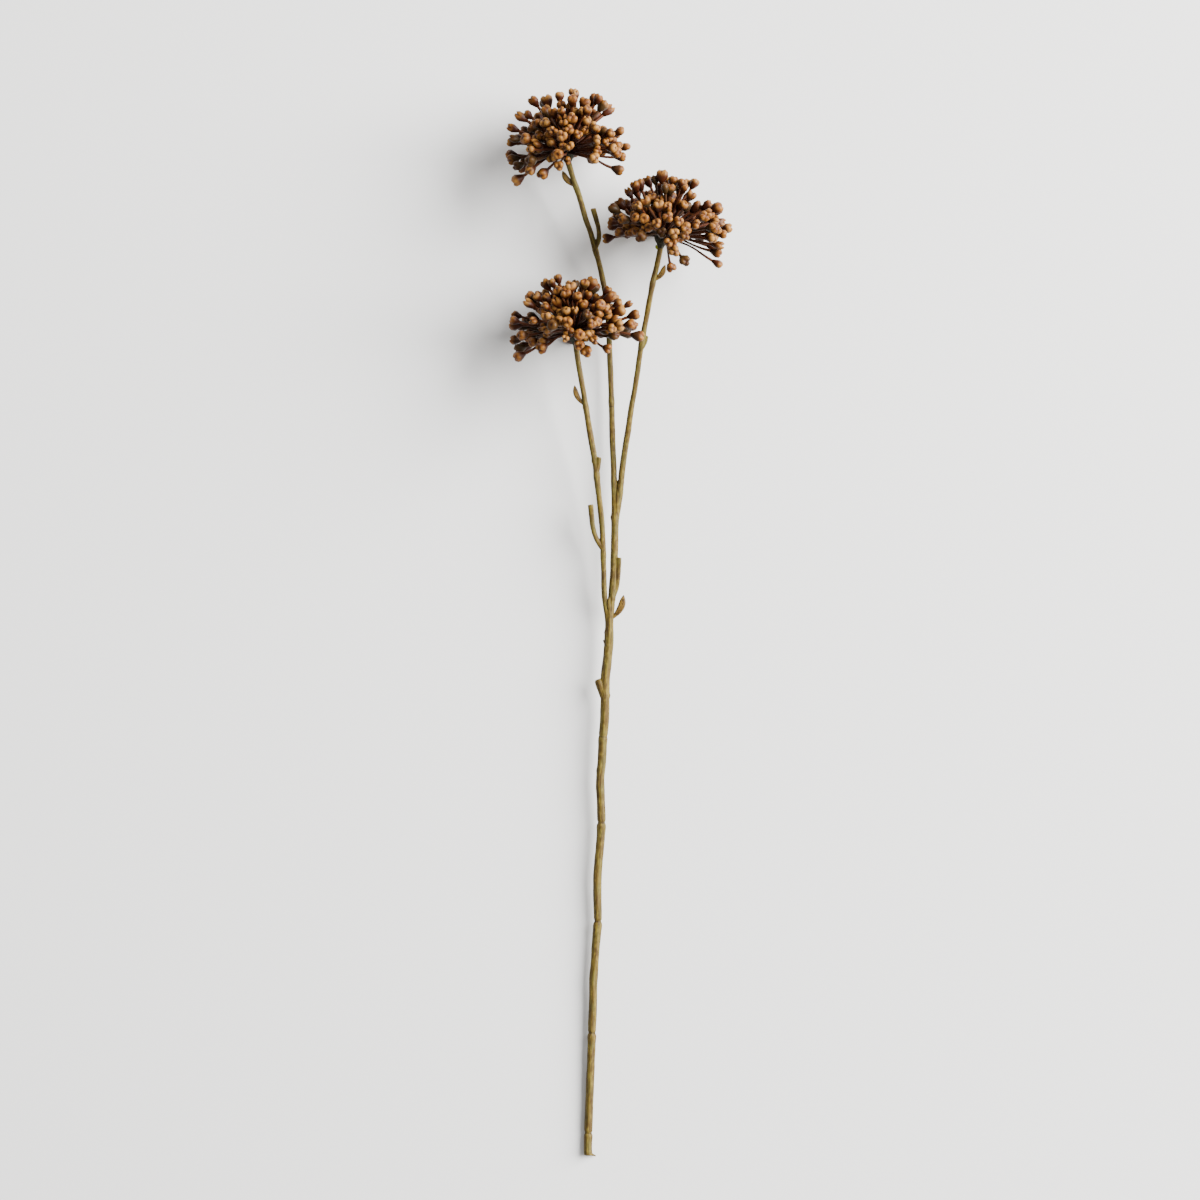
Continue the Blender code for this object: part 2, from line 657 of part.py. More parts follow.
def stalk_tree(stalk):
    """The stalk's and bud's faces, drawn in a little at the hub and out a little elsewhere."""
    middle = stalk["facet"].calc_center_median()
    rows = [[middle.lerp(vert.co, 0.9) for vert in stalk["facet"].verts]]
    for row in bud_rings(stalk):
        centre = sum(row, Vector()) / 3
        rows.append([corner + (corner - centre).normalized() * TREE_MARGIN for corner in row])
    corners = [corner for row in rows for corner in row]
    faces = [(9, 10, 11)]
    for low in (0, 3, 6):
        for k in range(3):
            n = (k + 1) % 3
            faces.append((low + k, low + n, low + 3 + n, low + 3 + k))
    return BVHTree.FromPolygons(corners, faces)


def thinned(stalks):
    """Drops stalks that cross others, those with the most crossings first."""
    trees = [stalk_tree(stalk) for stalk in stalks]
    crossed = {i: set() for i in range(len(stalks))}
    for i, stalk in enumerate(stalks):
        for j in range(i):
            near = stalk["root"].dot(stalks[j]["root"]) > NEIGHBOUR_DOT
            if near and trees[i].overlap(trees[j]):
                crossed[i].add(j)
                crossed[j].add(i)
    while any(crossed.values()):
        worst = max(crossed, key=lambda i: (len(crossed[i]), not stalks[i]["is_seen"], i))
        for i in crossed.pop(worst):
            crossed[i].remove(worst)
    return [stalks[i] for i in sorted(crossed)]


def room(stalk, pose):
    """How clear a bud and its stalk stand of their neighbours' in one pose."""
    at = pose[1] - BUD_SHOULDER * stalk["size"]
    centre = bud_middle(stalk, pose)
    radius = BUD_RADIUS * stalk["size"]
    least = ROOM
    for other in stalk["others"]:
        other_pose = other["pose"]
        other_at = other_pose[1] - BUD_SHOULDER * other["size"]
        other_centre = bud_middle(other, other_pose)
        other_radius = BUD_RADIUS * other["size"]
        least = min(least, (centre - other_centre).length - radius - other_radius)
        if at < other_at:
            beside = stalk_point(other, other_pose, at)
            least = min(least, (centre - beside).length - radius - STALK_RADIUS * 1.4)
        else:
            beside = stalk_point(stalk, pose, other_at)
            least = min(least, (other_centre - beside).length - other_radius - STALK_RADIUS * 1.4)
        for distance, apart in STALK_SPACING:
            mine = stalk_point(stalk, pose, distance)
            theirs = stalk_point(other, other_pose, distance)
            least = min(least, (mine - theirs).length - apart)
    return least


def is_free(matrix, limbs, stalk, pose):
    """True if a bud stands above the floor, and it and its stalk clear every branch nearby."""
    size, reach = stalk["size"], pose[1]
    if reach < SHORTEST_REACH:
        return False
    level = math.sqrt(max(0, 1 - (matrix.to_3x3() @ pose[0]).z ** 2))
    for back, radius in ((BUD_SHOULDER * size, BUD_RADIUS * size), (0, CAP_RADIUS * size)):
        if (matrix @ (pose[0] * (reach - back))).z < radius * level + FLOOR_MARGIN:
            return False
    for at, limb_radius in limbs:
        along = at.length
        if along > reach + 6:
            continue
        for distance in (min(along, reach), min(along - 2, reach), reach - BUD_SHOULDER * size):
            in_bud = distance > reach - BUD_LENGTH * size
            radius = BUD_RADIUS * size if in_bud else STALK_RADIUS * 1.6
            if (stalk_point(stalk, pose, distance) - at).length < limb_radius + radius + LIMB_CLEARANCE:
                return False
    return True


def rest_on_floor(head, matrix, stalks):
    """Sends the stalk that points straightest down to the floor, and returns it."""
    down = matrix.to_3x3().inverted() @ Vector((0, 0, -1))
    lowest = max(stalks, key=lambda stalk: stalk["pose"][0].dot(down))
    aim = lowest["pose"][0]
    fall = -(matrix.to_3x3() @ aim).z
    lowest["pose"] = (aim, (matrix.translation.z - 0.1) / fall)
    return lowest


def make_head(name, head, matrix, limbs):
    """One head: every facet of the hub near its crown is drawn out into a stalk and a bud."""
    rng = random.Random(head["seed"])
    bm = hub_mesh(rng)
    facets = sorted(
        (
            face
            for face in bm.faces
            if all(vert.co.length > HUB_RADIUS * 0.99 for vert in face.verts)
            and polar_of(face.calc_center_median()) < math.radians(SKIRT_DEG)
        ),
        key=lambda face: (round(face.calc_center_median().z, 4), face.calc_center_median().x),
    )
    stalks = lay_out(head, matrix, [new_stalk(facet, rng) for facet in facets], limbs)
    resting = rest_on_floor(head, matrix, stalks)
    for stalk in stalks:
        rings = bud_rings(stalk)
        if stalk is resting:
            rings[-1] = [matrix.inverted() @ grounded(matrix @ corner) for corner in rings[-1]]
        face = stalk["facet"]
        for row in rings:
            face = bmesh.ops.extrude_discrete_faces(bm, faces=[face])["faces"][0]
            for vert, place in zip(face.verts, row):
                vert.co = place
    bmesh.ops.transform(bm, matrix=matrix, verts=bm.verts)
    bmesh.ops.scale(bm, vec=(MM, MM, MM), verts=bm.verts)
    return finish(name, bm)


def grounded(place):
    return Vector((place.x, place.y, 0))


def paint(piece, colour, roughness):
    material = bpy.data.materials.new(piece.name)
    material.use_nodes = True
    shader = material.node_tree.nodes["Principled BSDF"]
    shader.inputs["Base Color"].default_value = (*colour, 1)
    shader.inputs["Roughness"].default_value = roughness
    shader.inputs["Metallic"].default_value = 0
    piece.data.materials.clear()
    piece.data.materials.append(material)


def centre_on_floor(pieces):
    """Moves the whole spray so that the middle of its box, at floor height, is the origin."""
    corners = [vert.co for piece in pieces for vert in piece.data.vertices]
    low = Vector(map(min, zip(*corners)))
    high = Vector(map(max, zip(*corners)))
    middle = Vector(((low.x + high.x) / 2, (low.y + high.y) / 2, low.z))
    for piece in pieces:
        piece.data.transform(Matrix.Translation(-middle))


def main():
    for old in list(bpy.data.objects):
        bpy.data.objects.remove(old)
    tips, stem, limbs = make_stems()
    pieces = [stem]
    for name, (branch, x_at, z_at, y) in tips.items():
        pieces.append(branch)
        head = make_head(name, HEADS[name], head_matrix(HEADS[name], x_at, z_at, y), limbs)
        paint(head, (0.35, 0.17, 0.06), 0.55)
        pieces.append(head)
    for piece in pieces:
        if not piece.name.endswith("head"):
            paint(piece, (0.33, 0.25, 0.1), 0.6)
    centre_on_floor(pieces)


main()
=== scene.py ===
# A dried allium spray lying on a pale surface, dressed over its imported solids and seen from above.
# Places are in millimetres in the plan: x to the right and y towards the heads, from the middle
# of the cut end, and z up from the surface. planOrigin carries them into the frame.
import math
import random

import bmesh
import bpy
from mathutils import Matrix, Vector, kdtree, noise


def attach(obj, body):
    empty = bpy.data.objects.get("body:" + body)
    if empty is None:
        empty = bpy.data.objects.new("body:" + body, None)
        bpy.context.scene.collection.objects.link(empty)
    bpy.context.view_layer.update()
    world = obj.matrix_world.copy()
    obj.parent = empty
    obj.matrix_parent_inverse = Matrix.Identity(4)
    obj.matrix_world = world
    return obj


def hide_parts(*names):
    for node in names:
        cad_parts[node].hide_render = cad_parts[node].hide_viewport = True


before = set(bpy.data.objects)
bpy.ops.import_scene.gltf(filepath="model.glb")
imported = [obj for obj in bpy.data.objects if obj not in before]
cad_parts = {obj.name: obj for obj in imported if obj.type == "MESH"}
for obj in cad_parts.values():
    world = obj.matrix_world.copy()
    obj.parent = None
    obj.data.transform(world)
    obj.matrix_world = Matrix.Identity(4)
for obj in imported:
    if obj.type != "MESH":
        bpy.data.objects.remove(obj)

mm = 0.001
fullTurn = 2 * math.pi
upwards = Vector((0, 0, 1))
floorGap = 0.02  # the least height of any point over the surface, in millimetres
# the cut end: its x in the plan, the depth of its ring, and the digits that tell points apart
cutEnd = {"x": -0.1, "depth": 0.5, "digits": 7}
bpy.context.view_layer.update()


def findOrigin():
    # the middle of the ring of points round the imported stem's cut end, each point counted once
    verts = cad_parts["main_stem"].data.vertices
    points = sorted({tuple(round(value, cutEnd["digits"]) for value in vert.co) for vert in verts})
    cutY = min(point[1] for point in points)
    ring = [Vector(point) for point in points if point[1] < cutY + cutEnd["depth"] * mm]
    middle = sum(ring, Vector()) / len(ring) / mm
    return Vector((middle.x - cutEnd["x"], middle.y, 0))


planOrigin = findOrigin()


def inFrame(place):
    return (Vector(place) + planOrigin) * mm


def smoothValue(table, at):
    # the value at one place of a smooth curve through a table of (place, value)
    last = len(table) - 2
    i = 0
    while i < last and at > table[i + 1][0]:
        i += 1

    def slope(k):
        low, high = table[max(k - 1, 0)], table[min(k + 1, len(table) - 1)]
        return (high[1] - low[1]) / (high[0] - low[0])

    (a, start), (b, end) = table[i], table[i + 1]
    span = b - a
    t = (at - a) / span
    return (
        start * (2 * t**3 - 3 * t**2 + 1)
        + slope(i) * span * (t**3 - 2 * t**2 + t)
        + end * (3 * t**2 - 2 * t**3)
        + slope(i + 1) * span * (t**3 - t**2)
    )


def hump(away):
    # 1 in the middle, and nearly nothing two widths away
    return math.exp(-(away**2))


def addObject(name, data):
    item = bpy.data.objects.new(name, data)
    bpy.context.scene.collection.objects.link(item)
    return item


def squareTo(along):
    # the two directions square to a line: level across it, and up from it
    across = along.cross(upwards).normalized()
    return across, across.cross(along)


def directionAt(line, k):
    return (line[min(k + 1, len(line) - 1)][0] - line[max(k - 1, 0)][0]).normalized()


def skinRows(bm, rows):
    # faces between neighbouring rings of points, and one over each end
    for low, high in zip(rows, rows[1:]):
        for n in range(len(low)):
            m = (n + 1) % len(low)
            bm.faces.new((low[n], low[m], high[m], high[n]))
    bm.faces.new(reversed(rows[0]))
    return bm.faces.new(rows[-1])


def finishMesh(bm, name):
    bmesh.ops.recalc_face_normals(bm, faces=bm.faces)
    mesh = bpy.data.meshes.new(name)
    bm.to_mesh(mesh)
    bm.free()
    return mesh


def storeAttribute(mesh, name, values, kind="FLOAT"):
    layer = mesh.attributes.new(name, kind, "POINT")
    isVector = kind == "FLOAT_VECTOR"
    flat = [part for value in values for part in value] if isVector else list(values)
    layer.data.foreach_set("vector" if isVector else "value", flat)


def keepOffFloor(mesh):
    for vert in mesh.vertices:
        vert.co.z = max(vert.co.z, floorGap * mm)


def showPiece(name, mesh, nodes=()):
    piece = addObject(name, mesh)
    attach(piece, "root")
    if nodes:
        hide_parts(*nodes)


def evaluated(helper):
    # the helper's mesh with its modifiers applied, after which the helper is removed
    graph = bpy.context.evaluated_depsgraph_get()
    mesh = bpy.data.meshes.new_from_object(helper.evaluated_get(graph))
    bpy.data.objects.remove(helper)
    return mesh


# Materials. A pattern is its size across and along the piece in millimetres, and its fine detail.
# A layer is its source, where on the source it starts and is full, its share and its colour.
# A source is a pattern or an attribute of the mesh, and a colour may have layers of its own.
# Fibres, veins and wrinkles are finer in life, and are drawn as coarse as they need to show.

looks = {
    # Dried flower stem: thin olive tan bark that shrank as it dried, so it is matt and finely lined
    # along its length, and weathered brown in small patches
    "driedStemBark": {
        "space": "place", "roughness": 0.6, "specular": 0.14, "base": "#43331A",
        "relief": ("fibres", 0.12),
        "patterns": {
            "fibres": (0.38, 6.2, 4.0), "streaks": (1.3, 12.0, 3.0), "clouds": (3.3, 12.0, 3.0),
            "mottles": (1.6, 3.2, 4.0), "specks": (0.67, 1.1, 1.0),
        },
        "layers": [
            ("streaks", 0.34, 0.66, 1.0, "#64541F"), ("clouds", 0.46, 0.64, 0.5, "#545024"),
            ("clouds", 0.46, 0.34, 0.5, "#4F3A18"), ("mottles", 0.5, 0.34, 0.6, "#3F2D12"),
            ("mottles", 0.54, 0.7, 0.5, "#7D6C2D"), ("fibres", 0.54, 0.72, 0.4, "#857130"),
            ("fibres", 0.4, 0.28, 0.4, "#21160B"), ("specks", 0.7, 0.78, 0.7, "#21160B"),
            ("dark", 0.0, 1.0, 1.0, "#21160B"),
        ],
    },
    # Pith, cut across with shears: pale, dull and fibrous
    "cutPith": {
        "space": "place", "roughness": 0.8, "specular": 0.2, "base": "#4E3B22",
        "relief": ("grain", 0.15),
        "patterns": {"grain": (0.33, 0.33, 3.0)},
        "layers": [("grain", 0.35, 0.65, 1.0, "#7D6340")],
    },
    # Dried seed capsule, split open at its top: papery golden lips with a soft sheen over a duller brown
    # cup, and painted shade near black in its clefts and pit
    "driedCapsule": {
        "space": "budPlace", "roughness": 0.42, "specular": 0.14, "base": "#2E1206",
        "relief": ("wrinkles", 0.12),
        "patterns": {"blotches": (2.2, 3.3, 3.0), "wrinkles": (0.62, 2.0, 3.0)},
        "layers": [
            ("tone", 0.35, 0.65, 1.0, "#361606"), ("tone", 0.28, 0.18, 1.0, "#33230E"),
            ("crest", 0.5, 1.0, 1.0, ("#5E3210", [
                ("blotches", 0.35, 0.65, 1.0, "#8B5D26"), ("tone", 0.55, 0.95, 0.5, "#A97B3D"),
            ])),
            ("tone", 0.14, 0.06, 0.8, "#33230E"), ("wrinkles", 0.45, 0.3, 0.45, "#2E1206"),
            # painted shade: the clefts and the pit darkened towards near black
            ("foldShade", 0.4, 1.0, 0.85, "#351507"),
        ],
    },
    # Dried flower stalk: thin wiry fibre, dark red-brown and dull, paler at its capsule, and near the hub
    # darkened partly by painted shade
    "driedStalk": {
        "space": "Object", "roughness": 0.55, "specular": 0.12, "base": "#280F07",
        "relief": ("fibres", 0.08),
        "patterns": {"fibres": (1.1, 1.1, 2.0)},
        "layers": [
            # darker towards the hub: partly the stalk's own darker base, partly painted shade of the
            # head's crowded middle
            ("along", 0.1, 0.75, 1.0, "#3C1A0B"), ("along", 0.65, 1.0, 0.8, "#4F2812"),
            ("tone", 0.3, 0.1, 0.6, "#2E2617"), ("fibres", 0.45, 0.65, 0.4, "#472D1A"),
        ],
    },
    # Dried receptacle, the swollen stem end under the stalks: hard, ribbed and a dark greenish grey
    "driedReceptacle": {
        "space": "place", "roughness": 0.65, "specular": 0.12, "base": "#1C1811",
        "relief": ("ribs", 0.2),
        "patterns": {"ribs": (0.83, 2.5, 3.0)},
        "layers": [("ribs", 0.35, 0.65, 1.0, "#3A392B")],
    },
    # Dried scale leaf: thin horny skin, golden brown and slightly shiny, with dark edges and fine veins
    "driedBract": {
        "space": "place", "roughness": 0.5, "specular": 0.2, "base": "#4E3713",
        "relief": ("veins", 0.1),
        "patterns": {"veins": (0.55, 4.0, 3.0), "blotches": (1.6, 2.6, 4.0)},
        "layers": [
            ("veins", 0.36, 0.64, 1.0, "#735922"), ("blotches", 0.51, 0.38, 0.9, "#33230D"),
            ("fresh", 0.0, 1.0, 1.0, "#6F7414"), ("dark", 0.0, 1.0, 1.0, "#2A1C0D"),
        ],
    },
    # Uncoated paper, pressed smooth: plain and matt, so that nothing draws the eye from the spray
    "palePaper": {"space": "Object", "roughness": 0.9, "specular": 0.1, "base": "#E9E8E6"},
}


def linear(hexCode):
    # the sRGB curve, undone for each channel
    channels = [int(hexCode[i:i + 2], 16) / 255 for i in (1, 3, 5)]
    return [c / 12.92 if c <= 0.04045 else ((c + 0.055) / 1.055) ** 2.4 for c in channels] + [1]


def add(tree, kind, inputs=None, output=0, **settings):
    # one node with its settings and links, which gives back the output that is wanted of it
    node = tree.nodes.new(kind)
    for name, value in settings.items():
        setattr(node, name, value)
    for name, value in (inputs or {}).items():
        if isinstance(value, bpy.types.NodeSocket):
            tree.links.new(value, node.inputs[name])
        else:
            node.inputs[name].default_value = value
    return node.outputs[output] if node.outputs else None


def layColours(tree, sources, base, layers):
    colour = linear(base)
    for source, start, full, share, over in layers:
        if source not in sources:
            sources[source] = add(tree, "ShaderNodeAttribute", output="Fac", attribute_name=source)
        amount = add(
            tree, "ShaderNodeMapRange",
            {"Value": sources[source], "From Min": start, "From Max": full, "To Max": share},
            interpolation_type="SMOOTHSTEP",
        )
        top = linear(over) if isinstance(over, str) else layColours(tree, sources, *over)
        # the colours go in at 6 and 7 and come out at 2
        colour = add(tree, "ShaderNodeMix", {0: amount, 6: colour, 7: top}, 2, data_type="RGBA")
    return colour


def makeMaterial(name, look):
    material = bpy.data.materials.new(name)
    material.use_nodes = True
    tree = material.node_tree
    tree.nodes.clear()
    sources = {}
    for pattern, (across, along, detail) in look.get("patterns", {}).items():
        if look["space"] == "Object":
            space = add(tree, "ShaderNodeTexCoord", output="Object")
            unit = mm
        else:
            space = add(tree, "ShaderNodeAttribute", output="Vector", attribute_name=look["space"])
            unit = 1
        stretch = [1 / (size * unit) for size in (across, across, along)]
        mapped = add(tree, "ShaderNodeMapping", {"Vector": space, "Scale": stretch})
        settings = {"Vector": mapped, "Scale": 1, "Detail": detail}
        sources[pattern] = add(tree, "ShaderNodeTexNoise", settings)
    surface = {
        "Base Color": layColours(tree, sources, look["base"], look.get("layers", [])),
        "Roughness": look["roughness"], "Specular IOR Level": look["specular"],
    }
    if "relief" in look:
        pattern, height = look["relief"]
        settings = {"Height": sources[pattern], "Distance": height * mm}
        surface["Normal"] = add(tree, "ShaderNodeBump", settings)
    shader = add(tree, "ShaderNodeBsdfPrincipled", surface)
    add(tree, "ShaderNodeOutputMaterial", {"Surface": shader})
    return material


finishes = {name: makeMaterial(name, look) for name, look in looks.items()}
print("materials made")


# Stems. Routes are (y, x) and rises (y, z).

routes = {
    "main": [
        (0.0, -0.1), (15.3, 0.1), (34.6, 0.8), (60.1, 1.8), (77.4, 2.4), (97.8, 3.1), (110.0, 3.3),
        (124.2, 4.3), (135.4, 5.1), (146.6, 6.0), (160.9, 5.8), (173.1, 5.7), (185.3, 6.6),
        (198.5, 7.8), (208.6, 8.3), (222.9, 7.9), (235.0, 7.5), (248.2, 8.6), (260.4, 9.1),
        (272.6, 10.2), (285.7, 10.5), (297.9, 10.6), (310.1, 11.9), (323.2, 13.0), (342.4, 13.2),
    ],
    "left": [
        (331.3, 12.6), (340.4, 11.6), (347.5, 10.5), (354.6, 10.0), (366.7, 9.8), (378.8, 9.4),
        (391.9, 8.8), (403.9, 7.6), (416.0, 6.2), (429.0, 5.0), (441.0, 3.1), (452.9, 0.9),
        (465.9, -1.1), (477.8, -3.1), (489.7, -5.2), (499.6, -6.7), (505.6, -7.4),
    ],
    "centre": [
        (331.3, 13.5), (340.4, 13.9), (347.5, 14.7), (354.6, 15.3), (366.7, 16.1), (378.8, 16.4),
        (392.0, 16.7), (404.1, 16.7), (416.3, 16.3), (429.4, 16.0), (441.6, 15.5), (453.8, 15.0),
        (466.9, 14.8), (479.1, 14.3), (491.3, 13.9), (504.4, 13.4), (519.5, 12.8), (534.6, 11.3),
        (546.5, 9.3), (558.3, 6.6), (568.2, 3.8), (577.0, 1.2), (582.9, -1.0), (597.4, -5.3),
        (608.1, -9.1), (617.7, -12.0),
    ],
    "right": [
        (394.0, 16.9), (402.1, 17.7), (410.2, 18.8), (416.3, 19.7), (422.3, 20.6), (429.4, 21.3),
        (441.4, 23.0), (453.5, 24.9), (466.5, 26.8), (478.5, 28.9), (490.5, 30.8), (503.4, 32.7),
        (515.3, 34.8), (526.2, 36.7), (536.1, 38.5), (545.9, 40.4), (554.8, 42.6), (565.6, 44.8),
    ],
}
rises = {
    "left": [(331, 12.3), (347, 13.4), (406, 19.8), (466, 28.8), (506, 34.6)],
    "centre": [
        (331, 12.3), (347, 12.6), (416, 11.6), (497, 9.8), (538, 12.4), (582, 23.2), (618, 33.6),
    ],
    "right": [(402, 11.7), (422, 12.6), (456, 16.4), (496, 22.2), (536, 29.0), (566, 34.2)],
}
mainRest = {"endHeight": 2.38, "forkHeight": 12.6, "forkY": 342.4, "bend": 1.4}


def riseOf(limb, y):
    if limb != "main":
        return smoothValue(rises[limb], y)
    climb = mainRest["forkHeight"] - mainRest["endHeight"]
    return mainRest["endHeight"] + climb * (max(y, 0) / mainRest["forkY"]) ** mainRest["bend"]


def limbPoint(limb, y):
    return Vector((smoothValue(routes[limb], y), y, riseOf(limb, y)))


stemGrowth = {
    "sides": 14, "step": 0.8, "voxel": 0.35, "smoothing": 3,
    # bark relief: its height, and its size across and along the stem
    "reliefs": [(0.16, 0.67, 16.7), (0.2, 3.3, 9.1)],
    "ringShade": 0.6, "ringShadeWidth": 0.5, "cutFacing": 0.6, "cutReach": 1.25,
}


def limbLine(limb, start, end, radii, rings=()):
    # centre and radius every step along a limb, drawn in at its rings: (y, depth, width)
    line = []
    count = round((end - start) / stemGrowth["step"])
    for k in range(count + 1):
        y = start + (end - start) * k / count
        drawnIn = sum(depth * hump((y - at) / width) for at, depth, width in rings)
        line.append((limbPoint(limb, y), smoothValue(radii, y) - drawnIn))
    return line


def twigLine(limb, twig):
    # centre and radius along a twig, whose points lie above the limb's height by its lifts
    centres = [
        Vector((x, y, riseOf(limb, y) + lift))
        for (x, y), lift in zip(twig["points"], twig["lifts"])
    ]
    lengths = [0]
    for a, b in zip(centres, centres[1:]):
        lengths.append(lengths[-1] + (b - a).length)
    tables = [[(length, centre[axis]) for length, centre in zip(lengths, centres)] for axis in range(3)]
    thickness = list(zip(lengths, twig["radii"]))
    count = round(lengths[-1] / stemGrowth["step"])
    line = []
    for k in range(count + 1):
        at = lengths[-1] * k / count
        line.append((Vector([smoothValue(table, at) for table in tables]), smoothValue(thickness, at)))
    return line


def addShell(bm, line):
    rows = []
    turns = [fullTurn * n / stemGrowth["sides"] for n in range(stemGrowth["sides"])]
    for k, (centre, radius) in enumerate(line):
        across, upward = squareTo(directionAt(line, k))
        spokes = [across * math.cos(turn) + upward * math.sin(turn) for turn in turns]
        rows.append([bm.verts.new(inFrame(centre + spoke * radius)) for spoke in spokes])
    skinRows(bm, rows)


def joinedSkin(name, lines):
    # one closed skin round all the lines, rounded a little where they meet
    bm = bmesh.new()
    for line in lines:
        addShell(bm, line)
    helper = addObject(name + "Helper", finishMesh(bm, name + "Helper"))
    skin = helper.modifiers.new("skin", "REMESH")
    skin.mode = "VOXEL"
    skin.voxel_size = stemGrowth["voxel"] * mm
    soften = helper.modifiers.new("soften", "SMOOTH")
    soften.iterations = stemGrowth["smoothing"]
    mesh = evaluated(helper)
    mesh.name = name
    return mesh


def grainPlaces(mesh, lines):
    # each point's place along its nearest line: across the line, up from it and along it
    samples = []
    for line in lines:
        travelled = line[0][0].y
        for k, (centre, _) in enumerate(line):
            travelled += (centre - line[max(k - 1, 0)][0]).length
            samples.append((centre, directionAt(line, k), travelled))
    tree = kdtree.KDTree(len(samples))
    for k, sample in enumerate(samples):
        tree.insert(inFrame(sample[0]), k)
    tree.balance()
    places = []
    for vert in mesh.vertices:
        centre, ahead, travelled = samples[tree.find(vert.co)[1]]
        across, upward = squareTo(ahead)
        offset = vert.co / mm - planOrigin - centre
        places.append(Vector((offset.dot(across), offset.dot(upward), travelled + offset.dot(ahead))))
    return places


def growStem(name, node, lines, joins, cuts, shape):
    # lines carry the grain of the bark, and joins only thicken the skin where a limb forks
    mesh = joinedSkin(name, lines + joins)
    places = grainPlaces(mesh, lines)
    marks = []
    normals = [vert.normal.copy() for vert in mesh.vertices]
    for vert, normal, place in zip(mesh.vertices, normals, places):
        # a relief's height also shifts its pattern, so that the two don't line up
        lift = sum(
            height * noise.noise(Vector((place.x / across, place.y / across, place.z / along + height)))
            for height, across, along in stemGrowth["reliefs"]
        )
        mark = 0
        for y in shape.get("darkRings", ()):
            mark += stemGrowth["ringShade"] * hump((place.z - y) / stemGrowth["ringShadeWidth"])
        for spot, size, height, darkness in shape["scars"]:
            near = hump((vert.co / mm - planOrigin - Vector(spot)).length / size)
            lift += height * near
            mark = max(mark, darkness * near)
        marks.append(mark)
        vert.co += normal * lift * mm
    keepOffFloor(mesh)
    storeAttribute(mesh, "place", places, "FLOAT_VECTOR")
    storeAttribute(mesh, "dark", marks)
    mesh.materials.append(finishes["driedStemBark"])
    mesh.materials.append(finishes["cutPith"])
    for face in mesh.polygons:
        middle = face.center / mm - planOrigin
        for place, outward, radius in cuts:
            atCut = (middle - place).length < radius * stemGrowth["cutReach"]
            if atCut and face.normal.dot(outward) > stemGrowth["cutFacing"]:
                face.material_index = 1
    mesh.shade_smooth()
    print(name, "has", len(mesh.polygons), "faces")
    showPiece(name, mesh, [node])


def cutOf(line):
    # the cut at the last point of a line: its middle, the way it faces and its radius
    return line[-1][0], directionAt(line, len(line) - 1), line[-1][1]


mainStem = {
    "end": 345.0,
    "radii": [
        (0, 2.65), (20, 2.6), (160, 2.7), (250, 2.8), (300, 3.0), (322, 2.95), (328.4, 2.9), (330, 2.7),
        (345, 2.45),
    ],
    # drawn in where a leaf once ringed the stem, and swollen just below
    "rings": [
        (14, 0.6, 0.8), (77, 0.55, 0.8), (147, 0.6, 0.9), (209, 0.55, 0.9), (263, 0.3, 0.9),
        (11.6, -0.15, 1.6), (74.3, -0.25, 1.9), (144, -0.25, 2.0), (206, -0.25, 2.0), (260, -0.2, 2.4),
    ],
    "darkRings": [14, 77, 147, 209, 263],
    "twigs": {
        "stump": {
            "points": [(10.6, 284.6), (8.6, 290.8), (6.7, 296.6), (6.1, 298.4)],
            "lifts": [0.0, 0.2, 0.4, 0.4], "radii": [2.2, 2.5, 2.6, 1.9],
        },
        "spur": {
            "points": [(11.2, 320.2), (10.1, 321.8), (9.2, 323.0)], "lifts": [0.0, 0.0, 0.0],
            "radii": [1.2, 0.75, 0.3],
        },
        "burr": {
            "points": [(0.2, 0.9), (2.4, 0.2), (4.9, -0.7)], "lifts": [-0.1, -0.4, -0.8],
            "radii": [1.0, 0.85, 0.45],
        },
    },
    "forks": [
        ("left", [(329, 1.75), (342, 1.82), (350, 1.68)]),
        ("centre", [(329, 2.2), (342, 2.35), (350, 2.15)]),
    ],
    "forkSpan": (329, 350),
    # place, size, how far it stands out and how dark it is
    "scars": [
        ((9.9, 321.7, 12.0), 1.0, 0.0, 0.6), ((5.2, 241.5, 8.4), 1.6, 0.3, 0.7),
        ((6.8, 297.6, 10.0), 1.2, 0.0, 0.5), ((13.4, 288.3, 9.9), 1.4, 0.6, 0.0),
        ((10.0, 327.6, 12.0), 1.2, 0.35, 0.3),
    ],
}


def makeMainStem():
    main = limbLine("main", 0, mainStem["end"], mainStem["radii"], mainStem["rings"])
    twigs = [twigLine("main", twig) for twig in mainStem["twigs"].values()]
    forks = [limbLine(limb, *mainStem["forkSpan"], radii) for limb, radii in mainStem["forks"]]
    growStem("mainStem", "main_stem", [main] + twigs, forks, [cutOf(main[::-1])], mainStem)


